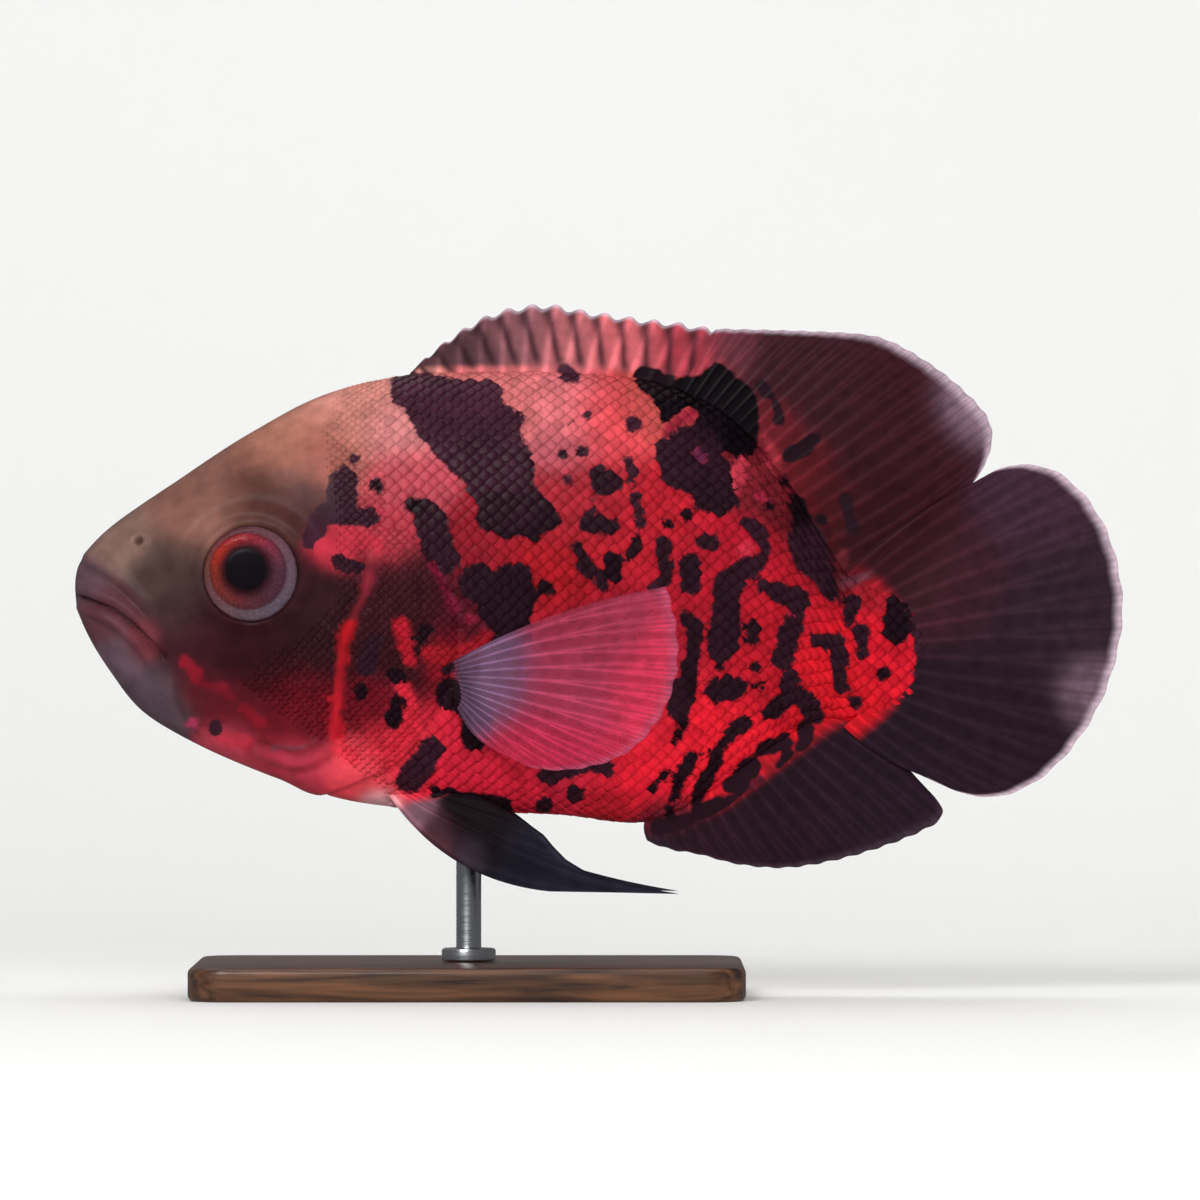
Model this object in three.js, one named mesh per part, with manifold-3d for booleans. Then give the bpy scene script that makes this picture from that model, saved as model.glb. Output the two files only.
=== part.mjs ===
// Red tiger oscar, a deep-bodied cichlid, life size on a plain display stand. Millimetres, +Z up,
// the head towards -X and the fish's left side towards -Y. The origin is on the floor, under the
// middle of the fish. The fish is level with its nose a little up, as it hangs in the water.

import * as THREE from "three";
import { mergeVertices } from "three/addons/utils/BufferGeometryUtils.js";
import Module from "manifold-3d";

const wasm = await Module();
wasm.setup();

// Driving dimensions
const TOTAL_LENGTH = 252; // snout tip to the rear edge of the tail fin
const BODY_LENGTH = 210.6; // snout tip to the end of the scaled skin over the tail fin's root
const SNOUT_X = -TOTAL_LENGTH / 2;
const GAP = 0.3; // clearance between pieces that touch
const ROOT = 3; // how far a fin's root starts under the skin, before the body is cut away from it

// Cutting blocks reach past the fish on every side
const WIDE = 80; // to each side of its middle plane
const AHEAD = -156; // x in front of the snout
const BEHIND = 200; // x behind the tail
const UNDER = -10; // z under the floor
const OVER = 300; // z over the back

// The body's outline at stations: mm behind the snout, height of the back and of the belly over the
// floor, and half the thickness.
const STATIONS = [
  [0, 98.2, 98.2, 0],
  [1, 103.6, 91.4, 6],
  [3.4, 107.3, 85.8, 9],
  [8.2, 112.1, 78.0, 11.8],
  [15.4, 117.4, 68.8, 14],
  [25, 123.8, 62.4, 16.2],
  [42.7, 135.3, 54.2, 19],
  [61, 144.8, 47.8, 21.4],
  [77.8, 148.8, 44.6, 22.4],
  [94.6, 149.8, 43.8, 21.9],
  [116.2, 149.8, 43.1, 19.7],
  [135.4, 148.4, 41.2, 16.6],
  [147.4, 145.0, 45.2, 14.2],
  [159.4, 137.8, 53.4, 11.6],
  [171.4, 124.1, 61.8, 8.8],
  [178.6, 112.3, 65.3, 7.2],
  [184.6, 103.2, 65.4, 6],
  [189.4, 101.2, 64.8, 5],
  [195.4, 99.6, 66.0, 3.9],
  [202, 98.0, 67.4, 3],
  [208, 93.6, 71.6, 2.5],
  [210.6, 82.4, 82.4, 0],
];
const WIDEST_SHARE = 0.53; // height of the thickest level, as a share of the body's depth
const SNOUT_ROUNDNESS = 0.84; // under 1 is blunter than an ellipse, over 1 is sharper
const BACK_RIDGE = 1.22;
const BELLY_ROUNDNESS = 0.86;
const STALK_ROUNDNESS = 1.05;

// Where the body is parted
const GILL_LINE = [
  [-50, 152],
  [-47.5, 131],
  [-42.5, 109],
  [-36.2, 93.5],
  [-37, 85],
  [-40.3, 77.5],
  [-44.5, 68],
  [-51, 58.5],
  [-60, 40],
];
const STALK_X = 52.5; // front of the tail stalk, at the rear end of the anal fin
const GAPE = [
  [-126.4, 96.6],
  [-122, 94.9],
  [-115.5, 91.8],
  [-109, 86.6],
  [-104, 80.6],
];
const LIP_FOLD = [
  [-127, 104.8],
  [-121, 102.6],
  [-114.8, 98.9],
  [-107.4, 93.9],
  [-102.5, 87.5],
  [-100.4, 80.0],
];
const CHIN_LINE = [
  [-104, 80.6],
  [-101.5, 74],
  [-99, 66],
  [-97, 56],
];
const UPPER_LIP_RADIUS = 2.3;
const LOWER_LIP_RADIUS = 2.6;
const LIP_SUNK = 0.9; // how far the middle of a lip lies under the skin
const LIP_PROUD = 0.5; // how far the jaws stand out from the face

// The rear edge of the cheek, a low ridge from behind the eye down to the throat
const CHEEK_EDGE = [
  [-54.4, 105.4],
  [-55.8, 96.5],
  [-59.6, 88.8],
  [-61.9, 82.3],
  [-62.6, 73.2],
  [-63.1, 65.5],
  [-67.6, 57.6],
  [-77, 56.6],
];
const CHEEK_RIDGE_RADIUS = 1.2;

// Gill covers, each a plate that stands out from the flank
const COVER_OUTLINE = [
  [-54.5, 108.5],
  [-48, 111.5],
  [-42.5, 107],
  [-37.2, 95],
  [-37.3, 86],
  [-40.8, 77],
  [-45.2, 67],
  [-50.5, 60.5],
  [-56, 57.6],
  [-60, 59.4],
  [-60.4, 66],
  [-59.8, 73],
  [-58.8, 82],
  [-54.6, 94],
];
const COVER_PROUD = 0.8;
const COVER_DEPTH = 2.4; // how deep the plate lies under the skin

// Eyes
const EYE = { x: -83.2, z: 101, radius: 11.2, proud: 3.2, sunk: 5.6 };
const EYE_YAW = 0.06; // radians that it looks forward
const IRIS_STEP = 0.5; // the rim of the eye stands this far over the iris
const PUPIL_RADIUS = 4.9;
const LID_RADIUS = 1.4;
const BROW = { distance: 16.8, from: 0.12, to: 0.86, radius: 1.5, sunk: 0.5 }; // from and to in half turns
const NOSTRIL = { x: -110.3, z: 109, radius: 1.2, rim: 0.7 };

// Fins: counts of spines and rays as in the species
const DORSAL_SPINES = 13;
const DORSAL_RAYS = 19;
const ANAL_RAYS = 17; // with its three short spines at the front
const TAIL_RAYS = 16;
const PECTORAL_RAYS = 13;
const FIN_EDGE = 0.6; // thickness of a fin's membrane at its free edge
const TAIL_OVER = [
  [54, 99.4],
  [61.5, 100.6],
  [67, 103.2],
  [78, 112],
  [91, 123.7],
  [98, 132],
];
const TAIL_UNDER = [
  [52, 68.5],
  [57, 64.8],
  [65.5, 60.6],
  [72.6, 55.4],
  [79, 50.4],
  [86, 43],
];
const PELVIC_TIPS = [
  [-12, 25.2],
  [19.2, 24.6],
  [-1, 28],
  [-8.2, 32.2],
  [-13.6, 38.2],
  [-18.6, 42],
];
const PELVIC_BOW = { front: -5.2, rear: 2 }; // the rays bend this far downwards and upwards

// Stand
const BASE = { length: 132, width: 92, height: 8, corner: 10, bevel: 1.5 };
const ROD = { x: -31.5, radius: 3, collar: 6.5, collarHeight: 3 };

// Small helpers

const clamp = (value) => Math.min(1, Math.max(0, value));

// 0 below low, 1 above high, and smooth between.
const ease = (value, low, high) => THREE.MathUtils.smoothstep(value, low, high);

const vectors = (pairs) => pairs.map(([x, z]) => new THREE.Vector2(x, z));

const splineOf = (pairs) => new THREE.SplineCurve(vectors(pairs));

// A closed three.js geometry as a solid, turned right side out.
function solidOf(geometry) {
  const bare = geometry.clone();
  bare.deleteAttribute("normal");
  bare.deleteAttribute("uv");
  const merged = mergeVertices(bare, 1e-4);
  const corners = new Uint32Array(merged.index.array);
  const build = () =>
    new wasm.Manifold(
      new wasm.Mesh({
        numProp: 3,
        vertProperties: new Float32Array(merged.attributes.position.array),
        triVerts: corners,
      }),
    );
  const made = build();
  if (made.volume() > 0) return made;
  for (let i = 0; i < corners.length; i += 3) {
    [corners[i + 1], corners[i + 2]] = [corners[i + 2], corners[i + 1]];
  }
  return build();
}

// The largest closed body of a solid, so that a scrap left by a cut is dropped.
function largest(solid) {
  const bodies = solid.decompose();
  return bodies.reduce((best, body) => (body.volume() > best.volume() ? body : best));
}

function geometryOf(solid) {
  const mesh = solid.getMesh();
  const geometry = new THREE.BufferGeometry();
  geometry.setAttribute("position", new THREE.BufferAttribute(mesh.vertProperties, 3));
  geometry.setIndex(new THREE.BufferAttribute(mesh.triVerts, 1));
  geometry.computeVertexNormals();
  return geometry;
}

const joined = (first, ...rest) => rest.reduce((sum, solid) => sum.add(solid), first);

const without = (first, ...rest) => rest.reduce((left, solid) => left.subtract(solid), first);

// A mirror image across the fish's middle plane.
const mirrored = (solid) => solid.mirror([0, 1, 0]);

// A block that covers an outline in the side view, across the whole width of the fish.
function prism(outline) {
  const shape = new THREE.Shape(vectors(outline));
  const block = new THREE.ExtrudeGeometry(shape, { depth: 2 * WIDE, bevelEnabled: false });
  block.rotateX(Math.PI / 2);
  block.translate(0, WIDE, 0);
  return solidOf(block);
}

// A smooth line through a few points, as many short straight ones.
const smoothLine = (pairs, pieces) => splineOf(pairs).getPoints(pieces).map(({ x, y }) => [x, y]);

const shifted = (pairs, dx, dz) => pairs.map(([x, z]) => [x + dx, z + dz]);

// Body

// How far along the body a station is, from 0 to 1, close-set at both round ends.
const alongOf = (at) => Math.acos(1 - (2 * clamp(at / BODY_LENGTH))) / Math.PI;

const STATION_ALONG = STATIONS.map(([at]) => alongOf(at));

// One column of the station list, as a smooth curve through its values.
function stationValue(column, along) {
  const last = STATIONS.length - 1;
  let i = 0;
  while (i < last - 1 && STATION_ALONG[i + 1] < along) i += 1;
  const slope = (k) => {
    const low = Math.max(0, k - 1);
    const high = Math.min(last, k + 1);
    return (STATIONS[high][column] - STATIONS[low][column]) / (STATION_ALONG[high] - STATION_ALONG[low]);
  };
  const step = STATION_ALONG[i + 1] - STATION_ALONG[i];
  const s = clamp((along - STATION_ALONG[i]) / step);
  const [a, b] = [STATIONS[i][column], STATIONS[i + 1][column]];
  const [ma, mb] = [slope(i) * step, slope(i + 1) * step];
  const s2 = s * s;
  const s3 = s2 * s;
  return (2 * s3 - 3 * s2 + 1) * a + (s3 - 2 * s2 + s) * ma + (3 * s2 - 2 * s3) * b + (s3 - s2) * mb;
}

// The body's cross-section at a share of its length, made larger all round by grow.
function sectionAt(along, grow) {
  const at = (BODY_LENGTH / 2) * (1 - Math.cos(Math.PI * along));
  const near = grow * clamp(along / 0.04) * clamp((1 - along) / 0.04);
  const top = stationValue(1, along) + near;
  const bottom = stationValue(2, along) - near;
  return {
    x: SNOUT_X + at + grow * (2 * along - 1),
    top,
    bottom,
    middle: bottom + WIDEST_SHARE * (top - bottom),
    half: stationValue(3, along) + near,
    above: SNOUT_ROUNDNESS + (BACK_RIDGE - SNOUT_ROUNDNESS) * ease(at, 25, 110),
    below: BELLY_ROUNDNESS + (STALK_ROUNDNESS - BELLY_ROUNDNESS) * ease(at, 120, 175),
  };
}

// The whole body, without fins, as one closed skin: a sphere whose poles are the snout and the tail.
function bodySolid(grow = 0, around = 28, rings = 40) {
  const skin = new THREE.SphereGeometry(1, around, rings);
  const spots = skin.attributes.position;
  for (let i = 0; i < spots.count; i += 1) {
    const along = Math.acos(THREE.MathUtils.clamp(spots.getY(i), -1, 1)) / Math.PI;
    const turn = Math.atan2(spots.getZ(i), spots.getX(i));
    const section = sectionAt(along, grow);
    const rise = Math.cos(turn);
    const side = Math.sin(turn);
    const reach = rise > 0 ? section.top - section.middle : section.middle - section.bottom;
    const bulge = Math.abs(side) ** (rise > 0 ? section.above : section.below);
    spots.setXYZ(i, section.x, section.half * bulge * Math.sign(side), section.middle + reach * rise);
  }
  return solidOf(skin);
}

// Half the body's thickness at a place in the side view.
function halfThickness(x, z) {
  const section = sectionAt(alongOf(x - SNOUT_X), 0);
  const over = z > section.middle;
  const reach = over ? section.top - section.middle : section.middle - section.bottom;
  const rise = clamp(Math.abs(z - section.middle) / Math.max(reach, 0.01));
  return section.half * Math.sqrt(1 - rise * rise) ** (over ? section.above : section.below);
}

const backAt = (x) => sectionAt(alongOf(x - SNOUT_X), 0).top;
const bellyAt = (x) => sectionAt(alongOf(x - SNOUT_X), 0).bottom;

// A round bead along a curve, thin at both ends: a sphere whose poles are the curve's ends.
function bead(curve, radius, sides, steps) {
  const form = new THREE.SphereGeometry(1, sides, steps);
  const spots = form.attributes.position;
  const up = new THREE.Vector3(0, 0, 1);
  for (let i = 0; i < spots.count; i += 1) {
    const share = Math.acos(THREE.MathUtils.clamp(spots.getY(i), -1, 1)) / Math.PI;
    const turn = Math.atan2(spots.getZ(i), spots.getX(i));
    const across = new THREE.Vector3().crossVectors(curve.getTangentAt(share), up).normalize();
    const width = radius * Math.sin(Math.PI * share) ** 0.4;
    const spot = curve.getPointAt(share);
    spot.addScaledVector(across, width * Math.cos(turn));
    spot.addScaledVector(up, width * Math.sin(turn));
    spots.setXYZ(i, spot.x, spot.y, spot.z);
  }
  return solidOf(form);
}

// The gape on the skin, from the left corner of the mouth round its front to the right one, moved
// up or down along the face.
function gapeCurve(lift) {
  const line = splineOf(GAPE);
  const steps = 9;
  const spots = [];
  for (let i = -steps; i <= steps; i += 1) {
    const share = (Math.abs(i) / steps) ** 2;
    const spot = line.getPoint(share);
    const x = Math.max(spot.x + 0.58 * lift, SNOUT_X + 2.4);
    const z = spot.y + 0.81 * lift;
    const across = Math.max(0, halfThickness(x, z) - LIP_SUNK);
    spots.push(new THREE.Vector3(x, Math.sign(i) * across, z));
  }
  return new THREE.CatmullRomCurve3(spots);
}

// A line in the side view, laid on the left side of the body and a little under the skin.
function onLeftSide(pairs, sunk) {
  const spots = pairs.map(([x, z]) => new THREE.Vector3(x, sunk - halfThickness(x, z), z));
  return new THREE.CatmullRomCurve3(spots);
}

// Head

// Everything in front of a line that runs from over the fish to under it.
const inFrontOf = (line) => prism([...line, [AHEAD, line[line.length - 1][1]], [AHEAD, line[0][1]]]);

// An eye: a round ball flattened from the side, with the iris a step below its rim.
function eyeSolid(grow = 0) {
  const rim = EYE.radius + grow;
  const back = new THREE.EllipseCurve(0, 0, rim, EYE.sunk + grow, -Math.PI / 2, 0);
  const profile = back.getPoints(5);
  if (grow > 0) {
    profile.push(new THREE.Vector2(rim, 2), new THREE.Vector2(rim, EYE.proud + 5));
    profile.push(new THREE.Vector2(0, EYE.proud + 5));
  } else {
    const front = EYE.proud;
    profile.push(new THREE.Vector2(rim - 0.5, 1.3), new THREE.Vector2(rim - 1.7, 1.9));
    profile.push(new THREE.Vector2(rim - 2.6, 1.9 - IRIS_STEP), new THREE.Vector2(PUPIL_RADIUS + 1.6, 2.5));
    profile.push(new THREE.Vector2(PUPIL_RADIUS, 2.6), new THREE.Vector2(PUPIL_RADIUS - 0.6, front - 0.5));
    profile.push(new THREE.Vector2(PUPIL_RADIUS / 2, front - 0.1), new THREE.Vector2(0, front));
  }
  profile[0].x = 0;
  const ball = new THREE.LatheGeometry(profile, 22);
  ball.rotateX(Math.PI);
  ball.rotateZ(EYE_YAW);
  ball.translate(EYE.x, -halfThickness(EYE.x, EYE.z), EYE.z);
  return solidOf(ball);
}

// The raised rim of skin round an eye.
function lidSolid() {
  const ring = new THREE.TorusGeometry(EYE.radius + LID_RADIUS / 2, LID_RADIUS, 8, 22);
  ring.scale(1, 1, 1.25);
  ring.rotateX(Math.PI / 2);
  ring.rotateZ(EYE_YAW);
  ring.translate(EYE.x, GAP - halfThickness(EYE.x, EYE.z), EYE.z);
  return solidOf(ring);
}

// The brow, a soft fold of skin that follows the eye's rim over its top.
function browSolid() {
  const steps = 6;
  const spots = [];
  for (let i = 0; i <= steps; i += 1) {
    const angle = Math.PI * THREE.MathUtils.lerp(BROW.from, BROW.to, i / steps);
    spots.push([EYE.x + BROW.distance * Math.cos(angle), EYE.z + BROW.distance * Math.sin(angle)]);
  }
  return bead(onLeftSide(spots, BROW.sunk), BROW.radius, 7, 12);
}

const cheekRidge = () => bead(onLeftSide(CHEEK_EDGE, CHEEK_RIDGE_RADIUS / 2), CHEEK_RIDGE_RADIUS, 6, 14);

function nostrilRim() {
  const ring = new THREE.TorusGeometry(NOSTRIL.radius + NOSTRIL.rim / 2, NOSTRIL.rim, 6, 10);
  ring.rotateX(Math.PI / 2);
  ring.translate(NOSTRIL.x, GAP - halfThickness(NOSTRIL.x, NOSTRIL.z), NOSTRIL.z);
  return solidOf(ring);
}

function nostrilPit() {
  const pit = new THREE.SphereGeometry(NOSTRIL.radius, 8, 6);
  pit.scale(1, 1.8, 1);
  pit.translate(NOSTRIL.x, -halfThickness(NOSTRIL.x, NOSTRIL.z), NOSTRIL.z);
  return solidOf(pit);
}

const both = (solid) => joined(solid, mirrored(solid));

const body = bodySolid();
const bodyClear = bodySolid(GAP);
const frontOfGills = inFrontOf(smoothLine(GILL_LINE, 28));

const gape = smoothLine(GAPE, 10);
const JAWS_REAR = -97; // x behind the corners of the mouth
const [, MOUTH_TOP] = GAPE[0];
const [CORNER_X, CORNER_Z] = GAPE[GAPE.length - 1];
const overGape = prism([
  ...shifted(gape, 0.05, GAP / 2),
  [JAWS_REAR, CORNER_Z],
  [JAWS_REAR, OVER],
  [AHEAD, OVER],
  [AHEAD, MOUTH_TOP + 0.2],
]);
const underGape = prism([
  ...shifted(gape, -0.05, -GAP / 2),
  [JAWS_REAR, CORNER_Z - 0.4],
  [JAWS_REAR, UNDER],
  [AHEAD, UNDER],
  [AHEAD, MOUTH_TOP - 0.4],
]);

// The upper jaw is the lip and the toothed bone over the gape, up to the fold on the snout.
const fold = smoothLine(LIP_FOLD, 12);
const jawFoot = CORNER_Z - 1.2;
const upperJawOutline = [...fold, [CORNER_X - 0.2, jawFoot], [AHEAD, jawFoot], [AHEAD, LIP_FOLD[0][1]]];

// The lower jaw is all under the gape, back to the angle of the jaw.
const chin = smoothLine(CHIN_LINE, 6);
const chinFoot = CHIN_LINE[CHIN_LINE.length - 1][1];
const lowerJawOutline = [...gape, ...chin.slice(1), [AHEAD, chinFoot], [AHEAD, MOUTH_TOP]];

const proudFace = bodySolid(LIP_PROUD);

function upperJaw() {
  const bone = proudFace.intersect(prism(upperJawOutline));
  const lip = bead(gapeCurve(UPPER_LIP_RADIUS), UPPER_LIP_RADIUS, 8, 22);
  return largest(joined(bone, lip).intersect(overGape));
}

function lowerJaw() {
  const bone = proudFace.intersect(prism(lowerJawOutline));
  const lip = bead(gapeCurve(-LOWER_LIP_RADIUS), LOWER_LIP_RADIUS, 8, 22);
  return largest(joined(bone, lip).intersect(underGape));
}

// What the jaws need clear in the head: their outlines, a little larger.
function jawRoom() {
  const grown = bodySolid(LIP_PROUD + 5, 24, 30);
  const upper = prism(shifted(upperJawOutline, 0.2, 0.25));
  const lower = prism(shifted(lowerJawOutline, 0.32, 0));
  return grown.intersect(joined(upper, lower));
}

// A gill cover: a plate that follows the flank, cut from between a larger and a smaller body.
const coverShell = (out, deep) => without(bodySolid(out), bodySolid(-deep, 20, 24));

// A closed outline moved outwards by a margin, point by point along its own normals.
function outset(outline, margin) {
  const count = outline.length;
  return outline.map(([x, z], i) => {
    const [px, pz] = outline[(i + count - 1) % count];
    const [nx, nz] = outline[(i + 1) % count];
    const span = Math.hypot(nx - px, nz - pz);
    return [x - (margin * (nz - pz)) / span, z + (margin * (nx - px)) / span];
  });
}

const behindOf = (x) =>
  prism([
    [x, UNDER],
    [BEHIND, UNDER],
    [BEHIND, OVER],
    [x, OVER],
  ]);

// The fish's left side, short of the middle plane by enough to keep the covers apart at the throat
const COVERS_APART = 4;
const leftHalf = behindOf(AHEAD).translate([0, -WIDE - COVERS_APART, 0]);

const closedLine = (outline, pieces) => smoothLine([...outline, outline[0]], pieces).slice(0, -1);

function coverBlock(margin) {
  return prism(outset(closedLine(COVER_OUTLINE, 44), margin)).intersect(leftHalf);
}

const gillCover = largest(coverShell(COVER_PROUD, COVER_DEPTH).intersect(coverBlock(0)));
const coverRoom = coverShell(COVER_PROUD + 3, COVER_DEPTH + GAP).intersect(coverBlock(GAP));

function headSolid() {
  const ridges = joined(lidSolid(), browSolid(), cheekRidge(), nostrilRim());
  const face = joined(body.intersect(frontOfGills), both(ridges));
  return largest(without(face, jawRoom(), both(coverRoom), both(eyeSolid(GAP)), both(nostrilPit())));
}

// Trunk and tail stalk

function trunkSolid() {
  const gills = inFrontOf(shifted(smoothLine(GILL_LINE, 28), 1.5 * GAP, 0));
  return largest(without(body, gills, behindOf(STALK_X - GAP), both(coverRoom)));
}

const tailStalk = () => largest(body.intersect(behindOf(STALK_X)));

// Fins

// A fin is a closed sheet between its root and its free edge. Each ray is a ridge on both faces, and
// the sheet thins towards the edge. root and edge give a place in the side view for a share of the
// fin's width, bow bends a ray sideways, notch draws the edge in between the rays, and sway gives the
// sheet's place across the fish.
function finSolid({ root, edge, rays, rows, detail = 2, thick, ridge, bow = () => 0, notch = 0, sway }) {
  const columns = detail * rays;
  const sheet = new THREE.BoxGeometry(1, 1, 1, columns, rows, 1);
  const spots = sheet.attributes.position;
  for (let i = 0; i < spots.count; i += 1) {
    const u = spots.getX(i) + 0.5;
    const v = spots.getY(i) + 0.5;
    const face = Math.sign(spots.getZ(i));
    const onRay = 0.5 - 0.5 * Math.cos(2 * Math.PI * rays * u);
    const start = root(u);
    const end = edge(u);
    const ray = end.clone().sub(start);
    const reach = v * (1 - (notch * (1 - onRay)) / ray.length());
    const bend = 4 * reach * (1 - reach) * bow(u);
    const x = start.x + ray.x * reach - (ray.y / ray.length()) * bend;
    const z = start.y + ray.y * reach + (ray.x / ray.length()) * bend;
    const skin = THREE.MathUtils.lerp(thick, FIN_EDGE, Math.sqrt(v));
    const raised = ridge * onRay * (1 - 0.55 * v);
    spots.setXYZ(i, x, sway(x, z, u, v) + (face * (skin + raised)) / 2, z);
  }
  return solidOf(sheet);
}

// The fin with its root cut to the body, so that it stands on the skin with the gap all round.
const onBody = (fin) => largest(without(fin, bodyClear));

// The room between the last rays of the dorsal and anal fins, where the tail fin spreads.
function tailRoom(margin) {
  const over = shifted(smoothLine(TAIL_OVER, 12), -0.7 * margin, 0.7 * margin);
  const under = shifted(smoothLine(TAIL_UNDER, 12), -0.6 * margin, -0.8 * margin);
  const [, top] = over[over.length - 1];
  const [, foot] = under[under.length - 1];
  return prism([...over, [BEHIND, top], [BEHIND, foot], ...under.reverse()]);
}
const besideTail = tailRoom(1.5 * GAP);

// A root line along the back or the belly, sunk under the skin.
const alongBack = (from, to) => (u) => {
  const x = THREE.MathUtils.lerp(from, to, u);
  return new THREE.Vector2(x, backAt(x) - ROOT);
};
const alongBelly = (from, to) => (u) => {
  const x = THREE.MathUtils.lerp(from, to, u);
  return new THREE.Vector2(x, bellyAt(x) + ROOT);
};
const alongLine = (pairs) => {
  const line = splineOf(pairs);
  return (u) => line.getPointAt(u);
};

// A gentle wave in the soft fins, from nothing at the body.
const ripple = (size, length) => (x, z, u, v) => size * v * v * Math.sin((2 * Math.PI * (x + z)) / length);

const spinyDorsal = () =>
  finSolid({
    root: alongBack(-45.5, 18.6),
    edge: alongLine([
      [-44.5, 150.6],
      [-38.5, 156],
      [-31, 161.2],
      [-24, 164.4],
      [-13.5, 166.2],
      [-3, 164.4],
      [9.5, 162.6],
      [20, 161.6],
      [27.8, 160.2],
    ]),
    rays: DORSAL_SPINES,
    rows: 4,
    thick: 2.6,
    ridge: 0.8,
    notch: 1.3,
    bow: (u) => 0.8 * (1 - u),
    sway: () => 0,
  });

const softDorsal = () =>
  finSolid({
    root: alongBack(19, 58.6),
    edge: alongLine([
      [28.2, 159.6],
      [45, 159.6],
      [61.5, 158.8],
      [69.6, 157],
      [78.6, 152],
      [86.4, 146],
      [92.6, 139.4],
      [94.2, 134],
      [93, 128.6],
      [90.8, 124.2],
    ]),
    rays: DORSAL_RAYS,
    rows: 6,
    thick: 3.4,
    ridge: 0.7,
    bow: (u) => 6 * u * (0.6 - u),
    notch: 0.3,
    sway: ripple(1.3, 62),
  });

const analFin = () =>
  finSolid({
    root: alongBelly(12.4, 53.2),
    edge: alongLine([
      [11.6, 36.6],
      [17.5, 34.7],
      [24, 33.6],
      [33.5, 31.2],
      [45, 30.4],
      [58, 32.6],
      [71.5, 36.8],
      [80.4, 40.9],
      [82.4, 43.6],
      [81, 46.8],
      [77.6, 50.4],
    ]),
    rays: ANAL_RAYS,
    rows: 6,
    thick: 3.2,
    ridge: 0.7,
    bow: (u) => -1.5 + 3.6 * u * u,
    notch: 0.4,
    sway: ripple(1.1, 58),
  });

const tailFin = () =>
  finSolid({
    root: alongLine([
      [59.6, 99.2],
      [67, 93.5],
      [69.6, 82.8],
      [67, 72],
      [59.4, 66.8],
    ]),
    edge: alongLine([
      [91, 123.6],
      [96.5, 126.6],
      [103, 127.6],
      [110.3, 125.6],
      [117.5, 118.8],
      [122.8, 109.2],
      [125.6, 97],
      [125, 85.6],
      [121, 72],
      [114, 60],
      [105.5, 51.6],
      [96, 47.6],
      [87, 48.2],
      [78.4, 52],
    ]),
    rays: TAIL_RAYS,
    rows: 7,
    thick: 3.4,
    ridge: 0.7,
    bow: (u) => 1.4 - 2.8 * u,
    notch: 0.4,
    sway: ripple(1.6, 70),
  });

// A breast fin stands off the flank behind the gill cover and spreads like a fan.
const PECTORAL_ROOT = { x: -36.4, top: 79.4, bottom: 71.2 };
const pectoralFin = () => {
  const flank = halfThickness(PECTORAL_ROOT.x, (PECTORAL_ROOT.top + PECTORAL_ROOT.bottom) / 2);
  return finSolid({
    root: alongLine([
      [PECTORAL_ROOT.x, PECTORAL_ROOT.top],
      [PECTORAL_ROOT.x + 1.8, PECTORAL_ROOT.bottom],
    ]),
    edge: alongLine([
      [16, 98],
      [18.3, 88],
      [18.2, 77],
      [14.4, 67],
      [7.2, 59],
      [-3, 55],
      [-14.5, 54.6],
      [-24, 58.6],
    ]),
    rays: PECTORAL_RAYS,
    rows: 6,
    thick: 3.6,
    ridge: 0.6,
    bow: (u) => 2.6 - 4.6 * u,
    notch: 0.5,
    sway: (x) => {
      const back = x - PECTORAL_ROOT.x;
      return -(flank - 1.6 + 0.34 * back - 0.0012 * back * back);
    },
  });
};

// A belly fin has one spine and five rays, and its first ray trails as a thread.
const pelvicEdge = (u) => {
  const last = PELVIC_TIPS.length - 1;
  const share = THREE.MathUtils.clamp(u * PELVIC_TIPS.length - 0.5, 0, last);
  const i = Math.min(last - 1, Math.floor(share));
  const [a, b] = vectors([PELVIC_TIPS[i], PELVIC_TIPS[i + 1]]);
  return a.lerp(b, share - i);
};
const PELVIC_ROOT = { front: -50.5, rear: -39.5, z: 49 };
const pelvicFin = () => {
  const flank = halfThickness(PELVIC_ROOT.front, PELVIC_ROOT.z);
  return finSolid({
    root: alongLine([
      [PELVIC_ROOT.front, PELVIC_ROOT.z - 0.8],
      [PELVIC_ROOT.rear, PELVIC_ROOT.z],
    ]),
    edge: pelvicEdge,
    rays: PELVIC_TIPS.length,
    rows: 10,
    thick: 3,
    ridge: 0.9,
    bow: (u) => PELVIC_BOW.front + (PELVIC_BOW.rear - PELVIC_BOW.front) * u,
    sway: (x, z) => {
      const down = Math.max(0, PELVIC_ROOT.z - z);
      return -(flank - 1.2 + 0.42 * down - 0.011 * down * down);
    },
  });
};

// Stand

function baseSolid() {
  const { length, width, height, corner, bevel } = BASE;
  const [x, y, r] = [length / 2 - bevel, width / 2 - bevel, corner];
  const plan = new THREE.Shape();
  plan.moveTo(-x + r, -y);
  plan.lineTo(x - r, -y);
  plan.absarc(x - r, -y + r, r, -Math.PI / 2, 0);
  plan.lineTo(x, y - r);
  plan.absarc(x - r, y - r, r, 0, Math.PI / 2);
  plan.lineTo(-x + r, y);
  plan.absarc(-x + r, y - r, r, Math.PI / 2, Math.PI);
  plan.lineTo(-x, -y + r);
  plan.absarc(-x + r, -y + r, r, Math.PI, 1.5 * Math.PI);
  const slab = new THREE.ExtrudeGeometry(plan, {
    depth: height - 2 * bevel,
    curveSegments: 6,
    bevelThickness: bevel,
    bevelSize: bevel,
    bevelSegments: 2,
  });
  slab.translate(ROD.x, 0, bevel);
  return solidOf(slab);
}

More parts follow.
